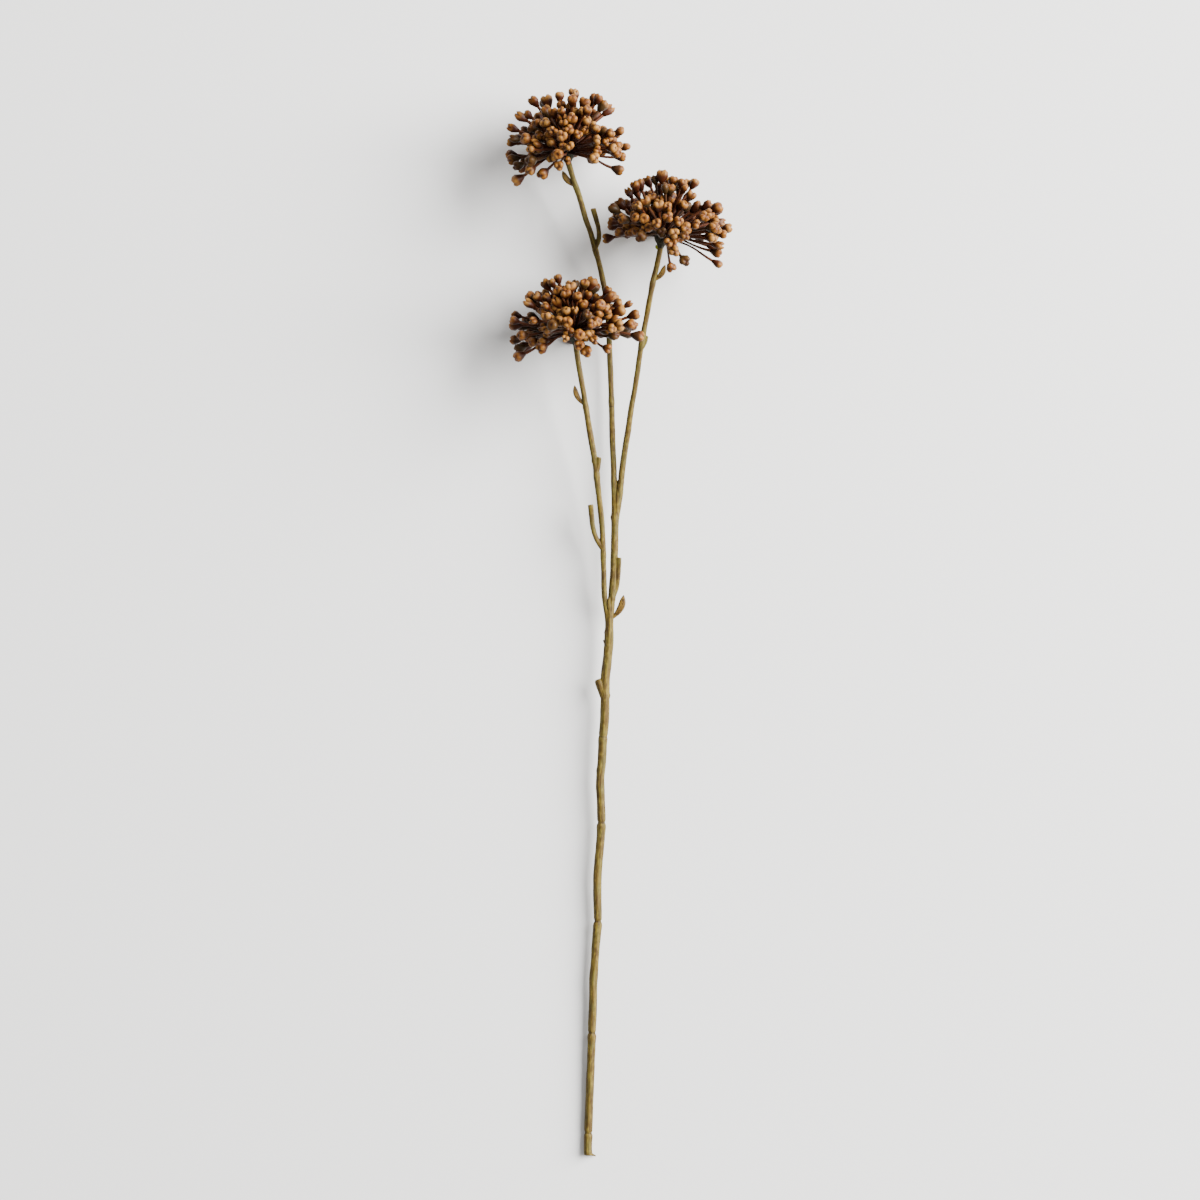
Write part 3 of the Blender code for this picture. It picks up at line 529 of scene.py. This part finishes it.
branches = {
    "left": {
        "span": (345.8, 507.5),
        "radii": [
            (345.8, 1.6), (350, 1.82), (375, 1.74), (405, 1.86), (450, 1.88), (495, 1.78), (507.5, 1.85),
        ],
        "rings": [(376, -0.25, 3), (425, -0.3, 2.5), (467, -0.2, 2.5)],
        "twigs": [
            {
                "points": [(9.0, 379.8), (5.0, 386.5), (2.8, 393.9), (2.0, 400.9), (1.4, 407.1)],
                "lifts": [0.0, 0.3, 0.6, 0.9, 1.0], "radii": [1.6, 1.6, 1.65, 1.7, 1.85],
            },
            {
                "points": [(5.2, 426.0), (6.4, 431.5), (7.1, 436.3)], "lifts": [0.0, 0.5, 0.9],
                "radii": [1.6, 1.5, 1.35],
            },
        ],
        "scars": [((3.0, 434.0, 24.0), 1.4, 0.3, 0.5)],
    },
    "centre": {
        "span": (345.8, 619.0),
        "radii": [
            (345.8, 2.2), (350, 2.45), (390, 2.4), (406, 2.3), (425, 1.95), (440, 1.88), (468, 1.85),
            (500, 1.85), (560, 1.72), (619, 1.8),
        ],
        "rings": [
            (398, -0.15, 3), (468.6, 0.12, 0.8), (471.5, -0.24, 3), (565, -0.3, 3), (603, -0.2, 2),
        ],
        "darkRings": [468.6],
        "twigs": [
            {
                "points": [(15.7, 349.0), (18.1, 356.6), (19.1, 365.7), (19.5, 374.4)],
                "lifts": [0.0, 0.5, 1.2, 1.8], "radii": [1.3, 1.35, 1.4, 1.5],
            },
            {
                "points": [(3.9, 565.2), (6.5, 571.5), (6.5, 577.8), (5.0, 584.1), (3.1, 590.3)],
                "lifts": [0.0, 0.8, 1.2, 1.6, 1.8], "radii": [1.45, 1.5, 1.5, 1.55, 1.7],
            },
        ],
        "forks": [("right", (394, 426), [(394, 1.6), (405, 2.4), (414, 2.45), (420, 2.1), (426, 1.8)])],
        "scars": [((14.0, 399.6, 11.8), 1.3, 0.5, 0.8), ((18.9, 412.5, 13.6), 1.0, -0.1, 0.7)],
    },
    "right": {
        "span": (420.3, 567.2),
        "radii": [(420.3, 1.8), (425, 2.0), (440, 1.92), (500, 1.78), (545, 1.74), (567.2, 1.8)],
        "rings": [(507, -0.3, 3), (543, -0.25, 2.5)],
        "twigs": [
            {
                "points": [(34.0, 504.6), (35.7, 508.4), (36.9, 511.4)], "lifts": [0.0, 0.2, 0.3],
                "radii": [1.25, 1.25, 0.6],
            },
        ],
        "scars": [((37.4, 511.4, 24.9), 0.9, 0.0, 0.6)],
    },
}


def makeBranches():
    for limb, shape in branches.items():
        line = limbLine(limb, *shape["span"], shape["radii"], shape["rings"])
        twigs = [twigLine(limb, twig) for twig in shape["twigs"]]
        forks = [limbLine(other, *span, radii) for other, span, radii in shape.get("forks", ())]
        cuts = [cutOf(twig) for twig in twigs]
        growStem(limb + "Branch", limb + "_branch", [line] + twigs, forks, cuts, shape)


makeMainStem()
makeBranches()
print("stems grown")


# Scale leaves. Each is a thin pointed boat, drawn in along its middle.

leafShape = {
    "sides": 12, "rings": 14, "flatness": 0.62, "bow": 0.11, "groove": 0.25, "grooveWidth": 0.35,
    "tipLift": 1.2, "edgeStart": 0.8, "edgeShade": 0.5, "tipStart": 0.85, "tipShade": 0.6,
    # share of the length, and share of the width there
    "outline": [(0, 0.4), (0.12, 0.52), (0.3, 0.8), (0.55, 1.0), (0.78, 0.9), (0.92, 0.5), (1.0, 0.1)],
}
leaves = {
    "leftLeaf": {"limb": "left", "root": (-2.2, 468.5), "tip": (-8.4, 480.6), "width": 3.5},
    "centreLeaf": {"limb": "centre", "root": (-7.2, 603.6), "tip": (-15.9, 613.2), "width": 3.9},
    "rightLeaf": {"limb": "right", "root": (40.7, 545.2), "tip": (47.7, 554.9), "width": 3.6},
    "forkLeaf": {"limb": "main", "root": (14.9, 336.4), "tip": (22.2, 350.9), "width": 4.4},
    "forkSheath": {
        "limb": "main", "root": (15.3, 337.2), "tip": (13.5, 350.0), "width": 2.4, "above": 1.6,
        "finish": "driedStemBark",
    },
    "greenBract": {
        "limb": "right", "root": (43.8, 564.2), "tip": (41.9, 567.0), "width": 1.9, "fresh": 0.9,
    },
}


def makeLeaf(name, leaf):
    height = riseOf(leaf["limb"], leaf["root"][1]) + leaf.get("above", 0)
    root, tip = Vector((*leaf["root"], height)), Vector((*leaf["tip"], height + leafShape["tipLift"]))
    length = (tip - root).length
    along = (tip - root).normalized()
    across, upward = squareTo(along)
    outward = across * math.copysign(1, along.x)
    bm = bmesh.new()
    rows, places, edges = [], [], []
    for k in range(leafShape["rings"] + 1):
        share = k / leafShape["rings"]
        bow = leafShape["bow"] * length * 4 * share * (1 - share)  # full at half the length
        middle = root.lerp(tip, share) + outward * bow
        half = leaf["width"] / 2 * smoothValue(leafShape["outline"], share)
        end = max(0, share - leafShape["tipStart"]) / (1 - leafShape["tipStart"])
        row = []
        for n in range(leafShape["sides"]):
            turn = fullTurn * n / leafShape["sides"]
            wide = half * math.cos(turn)
            dent = leafShape["groove"] * hump(math.cos(turn) / leafShape["grooveWidth"])
            high = half * (leafShape["flatness"] - dent) * math.sin(turn)
            row.append(bm.verts.new(inFrame(middle + across * wide + upward * high)))
            places.append((wide, high, share * length))
            rim = max(0, abs(math.cos(turn)) - leafShape["edgeStart"]) / (1 - leafShape["edgeStart"])
            edges.append(max(rim * leafShape["edgeShade"], end * leafShape["tipShade"]))
        rows.append(row)
    skinRows(bm, rows)
    mesh = finishMesh(bm, name)
    storeAttribute(mesh, "place", places, "FLOAT_VECTOR")
    storeAttribute(mesh, "dark", edges)
    storeAttribute(mesh, "fresh", [leaf.get("fresh", 0)] * len(places))
    mesh.materials.append(finishes[leaf.get("finish", "driedBract")])
    mesh.shade_smooth()
    showPiece(name, mesh)


for name, leaf in leaves.items():
    makeLeaf(name, leaf)
print("leaves made")


# Buds: open capsules of two or three lobes. Rings run from the neck to the crest and into the pit.

budForm = {
    "seed": 40, "swell": (0, 0.92, 1, 0.92),  # one corner in each cleft and three on each lobe
    "uneven": (-0.35, 0.25), "rough": 0.03, "deepest": 0.6, "pinch": 0.14, "softness": 0.4,
    # the knob down in the pit gets painted shade, like the clefts
    "unevenFrom": 0.4, "knobHeight": -0.3, "knobShade": 0.8, "knobCrest": 0.8, "patternGap": 20.0,
    "rings": [
        # height, radius, lobing, dip in a cleft, rise of a beak, painted shade, painted shade in a cleft,
        # crest
        (-6.7, 1.00, 0.00, 0.00, 0.00, 0.00, 0.01, 0.05),
        (-4.9, 2.05, 0.06, 0.00, 0.00, 0.01, 0.07, 0.28),
        (-2.6, 3.45, 0.15, 0.00, 0.00, 0.08, 0.15, 0.60),
        (-0.4, 3.25, 0.31, 0.65, 0.15, 0.19, 0.55, 0.91),
        (0.8, 1.85, 0.50, 1.20, 0.70, 0.35, 0.55, 1.00),
        (0.0, 0.60, 0.20, 0.20, 0.00, 0.90, 0.21, 0.85),
    ],
}
budKinds = [
    # how deep the clefts are, how wide the pit is, slimness, beak, and the share of all buds
    {"lobes": 3, "cleft": 1.1, "pit": 0.9, "slim": 1.0, "beak": 0.0, "share": 0.28},
    {"lobes": 3, "cleft": 1.6, "pit": 1.0, "slim": 1.05, "beak": 0.0, "share": 0.14},
    {"lobes": 2, "cleft": 1.5, "pit": 0.7, "slim": 1.0, "beak": 0.0, "share": 0.28},
    {"lobes": 3, "cleft": 0.5, "pit": 0.7, "slim": 0.96, "beak": 0.0, "share": 0.2},
    {"lobes": 3, "cleft": 2.0, "pit": 0.6, "slim": 0.84, "beak": 1.2, "share": 0.1},
]


def makeBud(index, kind):
    # one capsule of a few dozen faces, which the heads repeat
    sides = kind["lobes"] * len(budForm["swell"])
    rng = random.Random(budForm["seed"] + index)
    lobeHeights = [rng.uniform(*budForm["uneven"]) for _ in range(kind["lobes"])]
    bm = bmesh.new()
    rows, places, foldShades, crests = [], [], [], []
    for ring in budForm["rings"]:
        height, radius, lobing, dip, rise, foldShade, cleftShade, crest = ring
        row = []
        for n in range(sides):
            turn = fullTurn * n / sides
            lobe, corner = divmod(n, len(budForm["swell"]))
            inCleft = 1 - budForm["swell"][corner]
            wide = radius * kind["pit" if ring is budForm["rings"][-1] else "slim"]
            wide *= 1 - min(budForm["deepest"], lobing * kind["cleft"]) * inCleft
            wide *= 1 + rng.uniform(-budForm["rough"], budForm["rough"])
            if kind["lobes"] == 2:
                wide *= 1 - budForm["pinch"] * crest * abs(math.cos(turn))
            tall = height - dip * kind["cleft"] * inCleft
            tall += lobeHeights[lobe] * max(0, crest - budForm["unevenFrom"])
            tall += kind["beak"] * rise * (1 - inCleft)
            spot = Vector((wide * math.cos(turn), wide * math.sin(turn), tall))
            row.append(bm.verts.new(spot * mm))
            places.append(spot)
            # painted shade, which darkens the clefts and the pit
            foldShades.append(min(1, foldShade + inCleft * kind["cleft"] * cleftShade))
            crests.append(crest)
        rows.append(row)
    knob = bmesh.ops.poke(bm, faces=[skinRows(bm, rows)])["verts"][0]
    knob.co = Vector((0, 0, budForm["knobHeight"] * mm))
    places.append(knob.co / mm)
    # painted shade on the knob in the pit
    foldShades.append(budForm["knobShade"])
    crests.append(budForm["knobCrest"])
    outside = [vert for row in rows[:-1] for vert in row]
    bmesh.ops.smooth_vert(
        bm, verts=outside, factor=budForm["softness"], use_axis_x=True, use_axis_y=True, use_axis_z=True
    )
    mesh = finishMesh(bm, f"bud{index}")
    shift = Vector((index * budForm["patternGap"], 0, 0))
    storeAttribute(mesh, "budPlace", [place + shift for place in places], "FLOAT_VECTOR")
    storeAttribute(mesh, "foldShade", foldShades)
    storeAttribute(mesh, "crest", crests)
    return addObject(f"bud{index}", mesh)


# Heads. A guide mesh holds a line for each stalk and a loose point for each bud.

guideFields = {
    "isBud": "BOOLEAN", "kind": "INT", "aim": "FLOAT_VECTOR", "size": "FLOAT", "spin": "FLOAT",
    "thickness": "FLOAT", "along": "FLOAT", "tone": "FLOAT",
}
umbel = {
    # capsules: how far the middle and the neck lie below the crest, and how far one tilts
    "budSize": 1.1, "sizeSpread": (0.9, 1.1), "heart": 2.7, "neck": 5.9, "tiltDeg": 12,
    # stalks: thin in the middle and thickest at the capsule
    "stalkRadius": 0.78, "stalkSteps": 10, "stalkSides": 6, "bend": 0.42, "sway": 1.2, "rootDepth": 0.8,
    "stalkEnds": 0.95, "stalkWaist": 0.15, "stalkClub": 0.3,
    # clumps, which leave the buds near the surface where they are
    "clumps": 24, "clumpPull": 0.2, "clumpMost": 2.2, "reachSpread": 1.0, "floorGuard": 7.0,
    # inner buds, each between three of the nearest outer ones, and more of them on the upper side
    "innerTries": 240, "innerNear": 6, "innerBetween": 3, "innerFront": 0.5, "frontRise": 0.15,
    "innerReach": (0.6, 0.88), "innerSize": (0.8, 1.0), "innerGap": 7.4, "outerGap": 4.6,
}
# the solid heads: a hub just past the end of its branch, and three-sided buds that stand on it
solidHead = {
    "hubRadius": 4.4, "hubNeck": 6.6, "branchGap": 0.3, "hubClear": 2.0,
    "aheadSpan": 2.0, "climbSpan": 4.0,  # the last of the branch, which gives its direction and climb
    "budLength": 7.2, "budSides": 3, "mergeGap": 0.002,
}
heads = {
    # how far the crown leans to the left
    "leftHead": {"limb": "left", "leanDeg": 8, "seed": 5},
    "centreHead": {"limb": "centre", "leanDeg": 10, "seed": 6},
    "rightHead": {"limb": "right", "leanDeg": -8, "seed": 7},
}


def umbelTree(shapes):
    # a stalk along each of the guide's lines, and a capsule of its kind on each of its loose points
    tree = bpy.data.node_groups.new("umbel", "GeometryNodeTree")
    tree.interface.new_socket("Geometry", in_out="OUTPUT", socket_type="NodeSocketGeometry")
    tree.interface.new_socket("Geometry", in_out="INPUT", socket_type="NodeSocketGeometry")
    for name in ("Stalk Radius", "Bud Size"):
        tree.interface.new_socket(name, in_out="INPUT", socket_type="NodeSocketFloat")
    given = add(tree, "NodeGroupInput").node.outputs
    fields = {
        name: add(tree, "GeometryNodeInputNamedAttribute", {"Name": name}, data_type=kind)
        for name, kind in guideFields.items()
    }
    parts = add(tree, "GeometryNodeSeparateGeometry", {
        "Geometry": given["Geometry"], "Selection": fields["isBud"],
    }).node.outputs
    lines = add(tree, "GeometryNodeMeshToCurve", {"Mesh": parts["Inverted"]})
    ring = add(tree, "GeometryNodeCurvePrimitiveCircle", {
        "Resolution": umbel["stalkSides"], "Radius": 1.0,
    })
    girth = add(tree, "ShaderNodeMath", {
        0: fields["thickness"], 1: given["Stalk Radius"],
    }, operation="MULTIPLY")
    stalks = add(tree, "GeometryNodeCurveToMesh", {
        "Curve": lines, "Profile Curve": ring, "Fill Caps": True, "Scale": girth,
    })
    facing = add(tree, "FunctionNodeAlignRotationToVector", {"Vector": fields["aim"]}, axis="Z")
    spin = add(tree, "FunctionNodeAxisAngleToRotation", {"Axis": upwards, "Angle": fields["spin"]})
    turned = add(tree, "FunctionNodeRotateRotation", {
        "Rotation": facing, "Rotate By": spin,
    }, rotation_space="LOCAL")
    size = add(tree, "ShaderNodeMath", {
        0: fields["size"], 1: given["Bud Size"],
    }, operation="MULTIPLY")
    gathered = [stalks]
    for index, shape in enumerate(shapes):
        # whole numbers are compared at 2 and 3
        ofKind = add(tree, "FunctionNodeCompare", {
            2: fields["kind"], 3: index,
        }, data_type="INT", operation="EQUAL")
        bud = add(tree, "GeometryNodeObjectInfo", {"Object": shape, "As Instance": True}, "Geometry")
        gathered.append(add(tree, "GeometryNodeInstanceOnPoints", {
            "Points": parts["Selection"], "Selection": ofKind, "Instance": bud,
            "Rotation": turned, "Scale": size,
        }))
    joined = add(tree, "GeometryNodeJoinGeometry")
    for part in gathered:
        tree.links.new(part, joined.node.inputs[0])
    smooth = add(tree, "GeometryNodeSetShadeSmooth", {"Geometry": joined})
    plain = add(tree, "GeometryNodeSetMaterial", {
        "Geometry": smooth, "Material": finishes["driedStalk"],
    })
    real = add(tree, "GeometryNodeRealizeInstances", {"Geometry": plain})
    whole = add(tree, "GeometryNodeSetMaterial", {
        "Geometry": real, "Selection": fields["isBud"], "Material": finishes["driedCapsule"],
    })
    add(tree, "NodeGroupOutput", {"Geometry": whole})
    return tree


def hubAndCrown(head):
    # the middle of a head's hub and the way its crown points, which follow from its branch's end
    limb = head["limb"]
    y = routes[limb][-1][0]
    tip = limbPoint(limb, y)
    along = (tip - limbPoint(limb, y - solidHead["aheadSpan"])).normalized()
    climb = math.atan((tip.z - riseOf(limb, y - solidHead["climbSpan"])) / solidHead["climbSpan"])
    lean = math.radians(head["leanDeg"])
    level = math.cos(climb)
    crown = Vector((-math.sin(lean) * level, math.cos(lean) * level, math.sin(climb)))
    return tip + along * solidHead["branchGap"] + crown * solidHead["hubNeck"], crown


def budsOf(head):
    # where each bud of the solid head stands: its stalk's root, its crest, its aim and its size
    hub = inFrame(hubAndCrown(head)[0])
    hubReach = solidHead["hubClear"] * solidHead["hubRadius"] * mm
    sides = solidHead["budSides"]
    bm = bmesh.new()
    bm.from_mesh(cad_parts[head["limb"] + "_head"].data)
    bmesh.ops.remove_doubles(bm, verts=bm.verts, dist=solidHead["mergeGap"] * mm)
    outer = {vert for vert in bm.verts if (vert.co - hub).length > hubReach}
    found = []
    while outer:
        reached = [min(outer, key=lambda vert: tuple(vert.co))]
        outer.discard(reached[0])
        group, roots = [], []
        while reached:
            vert = reached.pop()
            group.append(vert.co.copy())
            for other in (link.other_vert(vert) for link in vert.link_edges):
                if other in outer:
                    outer.discard(other)
                    reached.append(other)
                elif (other.co - hub).length < hubReach and other not in roots:
                    roots.append(other)
        group.sort(key=lambda place: (place - hub).length)
        tip = sum(group[-sides:], Vector()) / sides
        neck = sum(group[:sides], Vector()) / sides
        root = sum((vert.co for vert in roots), Vector()) / len(roots)
        size = (tip - neck).length / (solidHead["budLength"] * mm)
        found.append({"root": root, "tip": tip, "aim": (tip - neck).normalized(), "size": size})
    bm.free()
    return hub, found


def clumpBuds(hub, found, rng):
    # pulls buds into loose clumps about the hub, as the dried stalks lean together
    leads = [bud["tip"].copy() for bud in rng.sample(found, umbel["clumps"])]
    for bud in found:
        lead = min(leads, key=lambda place: (place - bud["tip"]).length)
        bud["lead"] = (lead - hub).normalized()
        if bud["tip"].z < umbel["floorGuard"] * mm:
            continue
        reach = (bud["tip"] - hub).length
        shift = (bud["lead"] * reach + hub - bud["tip"]) * umbel["clumpPull"]
        if shift.length > umbel["clumpMost"] * mm:
            shift = shift.normalized() * umbel["clumpMost"] * mm
        bud["aim"] = (bud["tip"] + shift - hub).normalized()
        spread = rng.uniform(-umbel["reachSpread"], umbel["reachSpread"])
        bud["tip"] = hub + bud["aim"] * (reach + spread * mm)


def innerBuds(hub, found, rng):
    # smaller buds on shorter stalks, which show in the gaps between the outer ones
    inner = []
    front = [bud for bud in found if bud["aim"].z > umbel["frontRise"]]
    for _ in range(umbel["innerTries"]):
        first = rng.choice(front if rng.random() < umbel["innerFront"] else found)
        near = sorted(found, key=lambda bud: (bud["tip"] - first["tip"]).length)
        near = rng.sample(near[:umbel["innerNear"]], umbel["innerBetween"])
        aim = sum((bud["aim"] for bud in near), Vector()).normalized()
        outerReach = sum((bud["tip"] - hub).length for bud in near) / len(near)
        reach = outerReach * rng.uniform(*umbel["innerReach"])
        size = rng.uniform(*umbel["innerSize"])
        root = hub + aim * solidHead["hubRadius"] * mm
        tip = hub + aim * reach
        outerClear = all((bud["aim"] - aim).length * outerReach > umbel["outerGap"] * mm for bud in found)
        innerClear = all((bud["tip"] - tip).length > umbel["innerGap"] * mm for bud in inner)
        if outerClear and innerClear:
            inner.append({"root": root, "tip": tip, "aim": aim, "lead": aim, "size": size})
    return inner


def stalkPoints(hub, bud, neck, aim, rng):
    # a stalk's points from its root to the bud's neck, bent at both ends and swayed between them
    rootAim = ((bud["root"] - hub).normalized() + bud["lead"]).normalized()
    root = bud["root"] - rootAim * umbel["rootDepth"] * mm
    bend = (neck - root).length * umbel["bend"]
    handles = root + rootAim * bend, neck - aim * bend
    sway = Vector([rng.uniform(-1, 1) for _ in range(3)]) * umbel["sway"] * mm
    for k in range(umbel["stalkSteps"] + 1):
        t = k / umbel["stalkSteps"]
        u = 1 - t
        curve = root * u**3 + handles[0] * 3 * u * u * t + handles[1] * 3 * u * t * t + neck * t**3
        midway = math.sin(math.pi * t)
        thickness = umbel["stalkEnds"] - umbel["stalkWaist"] * midway + umbel["stalkClub"] * t * t
        yield t, curve + sway * midway**2, thickness


def guideMesh(name, head):
    rng = random.Random(head["seed"])
    hub, found = budsOf(head)
    clumpBuds(hub, found, rng)
    found += innerBuds(hub, found, rng)
    points, edges = [], []
    rows = {field: [] for field in guideFields}

    def addPoint(place, **values):
        points.append(place)
        for field, row in rows.items():
            row.append(values.get(field, (0, 0, 1) if field == "aim" else 0))

    for bud in found:
        tone = rng.random()
        sideways = bud["aim"].orthogonal().normalized()
        sideways.rotate(Matrix.Rotation(rng.uniform(0, fullTurn), 3, bud["aim"]))
        tilt = math.radians(umbel["tiltDeg"]) * rng.random()
        aim = (bud["aim"] + sideways * math.tan(tilt)).normalized()
        size = bud["size"] * rng.uniform(*umbel["sizeSpread"])
        crest = bud["tip"] + (aim - bud["aim"]) * umbel["heart"] * size * mm  # it tilts about its heart
        kind = rng.choices(range(len(budKinds)), [kind["share"] for kind in budKinds])[0]
        spin = rng.uniform(0, fullTurn)
        addPoint(crest, tone=tone, spin=spin, size=size, kind=kind, isBud=True, aim=aim)
        neck = crest - aim * umbel["neck"] * size * umbel["budSize"] * mm
        for along, place, thickness in stalkPoints(hub, bud, neck, aim, rng):
            addPoint(place, thickness=thickness * size, along=along, tone=tone)
            if along:
                edges.append((len(points) - 2, len(points) - 1))
    mesh = bpy.data.meshes.new(name + "Guide")
    mesh.from_pydata(points, edges, [])
    for field, row in rows.items():
        storeAttribute(mesh, field, row, guideFields[field])
    print(name, "has", len(found), "buds")
    return mesh


def makeHead(name, head, tree):
    helper = addObject(name + "Helper", guideMesh(name, head))
    grow = helper.modifiers.new("umbel", "NODES")
    grow.node_group = tree
    sockets = [item for item in tree.interface.items_tree if item.in_out == "INPUT"]
    inputs = {item.name: item.identifier for item in sockets}
    grow[inputs["Stalk Radius"]] = umbel["stalkRadius"] * mm
    grow[inputs["Bud Size"]] = umbel["budSize"]
    mesh = evaluated(helper)
    mesh.name = name
    keepOffFloor(mesh)
    showPiece(name, mesh, [head["limb"] + "_head"])


# Receptacles: the ribbed stem end inside each head, where its stalks are rooted.

cup = {
    "sides": 30, "ribs": 15, "ribHeight": 0.16, "ribStart": -6, "ribFull": -2,
    "lumpHeight": 0.2, "lumpRate": 2, "lumpLength": 4,
    # height along the crown, and radius
    "profile": [
        (-7.8, 1.6), (-7.2, 1.8), (-6.2, 2.15), (-4.9, 2.9), (-3.5, 3.9), (-1.7, 4.6), (0.2, 4.7),
        (1.8, 4.3), (3.1, 3.3), (4.1, 1.9), (4.4, 0.6),
    ],
}


def makeCup(name, head):
    hub, crown = hubAndCrown(head)
    across, upward = squareTo(crown)
    bm = bmesh.new()
    rows, places = [], []
    for height, radius in cup["profile"]:
        flare = max(0, min(1, (height - cup["ribStart"]) / (cup["ribFull"] - cup["ribStart"])))
        row = []
        for n in range(cup["sides"]):
            turn = fullTurn * n / cup["sides"]
            around = Vector((math.cos(turn), math.sin(turn), height / cup["lumpLength"]))
            lump = noise.noise(around * cup["lumpRate"])
            wide = radius + cup["ribHeight"] * flare * math.cos(cup["ribs"] * turn)
            wide += cup["lumpHeight"] * lump
            place = Vector((wide * math.cos(turn), wide * math.sin(turn), height))
            spot = hub + across * place.x + upward * place.y + crown * place.z
            row.append(bm.verts.new(inFrame(spot)))
            places.append(place)
        rows.append(row)
    skinRows(bm, rows)
    mesh = finishMesh(bm, name)
    storeAttribute(mesh, "place", places, "FLOAT_VECTOR")
    mesh.materials.append(finishes["driedReceptacle"])
    mesh.shade_smooth()
    showPiece(name, mesh)


budShapes = [makeBud(index, kind) for index, kind in enumerate(budKinds)]
headTree = umbelTree(budShapes)
for name, head in heads.items():
    makeHead(name, head, headTree)
    makeCup(name.replace("Head", "Cup"), head)
for shape in budShapes:
    bpy.data.objects.remove(shape)
print("heads made")


# The surface, the light and the camera

stage = {
    "size": 16.0, "sky": "#FFFFFF", "skyStrength": 0.5,  # metres, colour and strength
    "window": {"place": (3.5, 1.37, 2.2), "size": 4.2, "watts": 1300.0},
}
eye = {"place": (7.4, 347.9, 2091.4), "lens": 100, "sensor": 36, "nearest": 0.05, "farthest": 20}


def makeStage():
    half = stage["size"] / 2
    corners = [(-half, -half, 0), (half, -half, 0), (half, half, 0), (-half, half, 0)]
    mesh = bpy.data.meshes.new("surface")
    mesh.from_pydata(corners, [], [(0, 1, 2, 3)])
    mesh.materials.append(finishes["palePaper"])
    addObject("surface", mesh)
    world = bpy.data.worlds.new("softSky")
    world.use_nodes = True
    sky = world.node_tree.nodes["Background"]
    sky.inputs["Color"].default_value = linear(stage["sky"])
    sky.inputs["Strength"].default_value = stage["skyStrength"]
    bpy.context.scene.world = world
    window = stage["window"]
    light = bpy.data.lights.new("window", "AREA")
    light.shape = "DISK"
    light.size = window["size"]
    light.energy = window["watts"]
    lamp = addObject("window", light)
    lamp.location = window["place"]
    lamp.rotation_euler = (-lamp.location).to_track_quat("-Z", "Y").to_euler()


def makeCamera():
    lens = bpy.data.cameras.new("eye")
    lens.lens = eye["lens"]
    lens.sensor_width = eye["sensor"]
    lens.clip_start, lens.clip_end = eye["nearest"], eye["farthest"]
    camera = addObject("eye", lens)
    camera.location = inFrame(eye["place"])
    bpy.context.scene.camera = camera


makeStage()
makeCamera()
print("surface, lamp and camera placed")
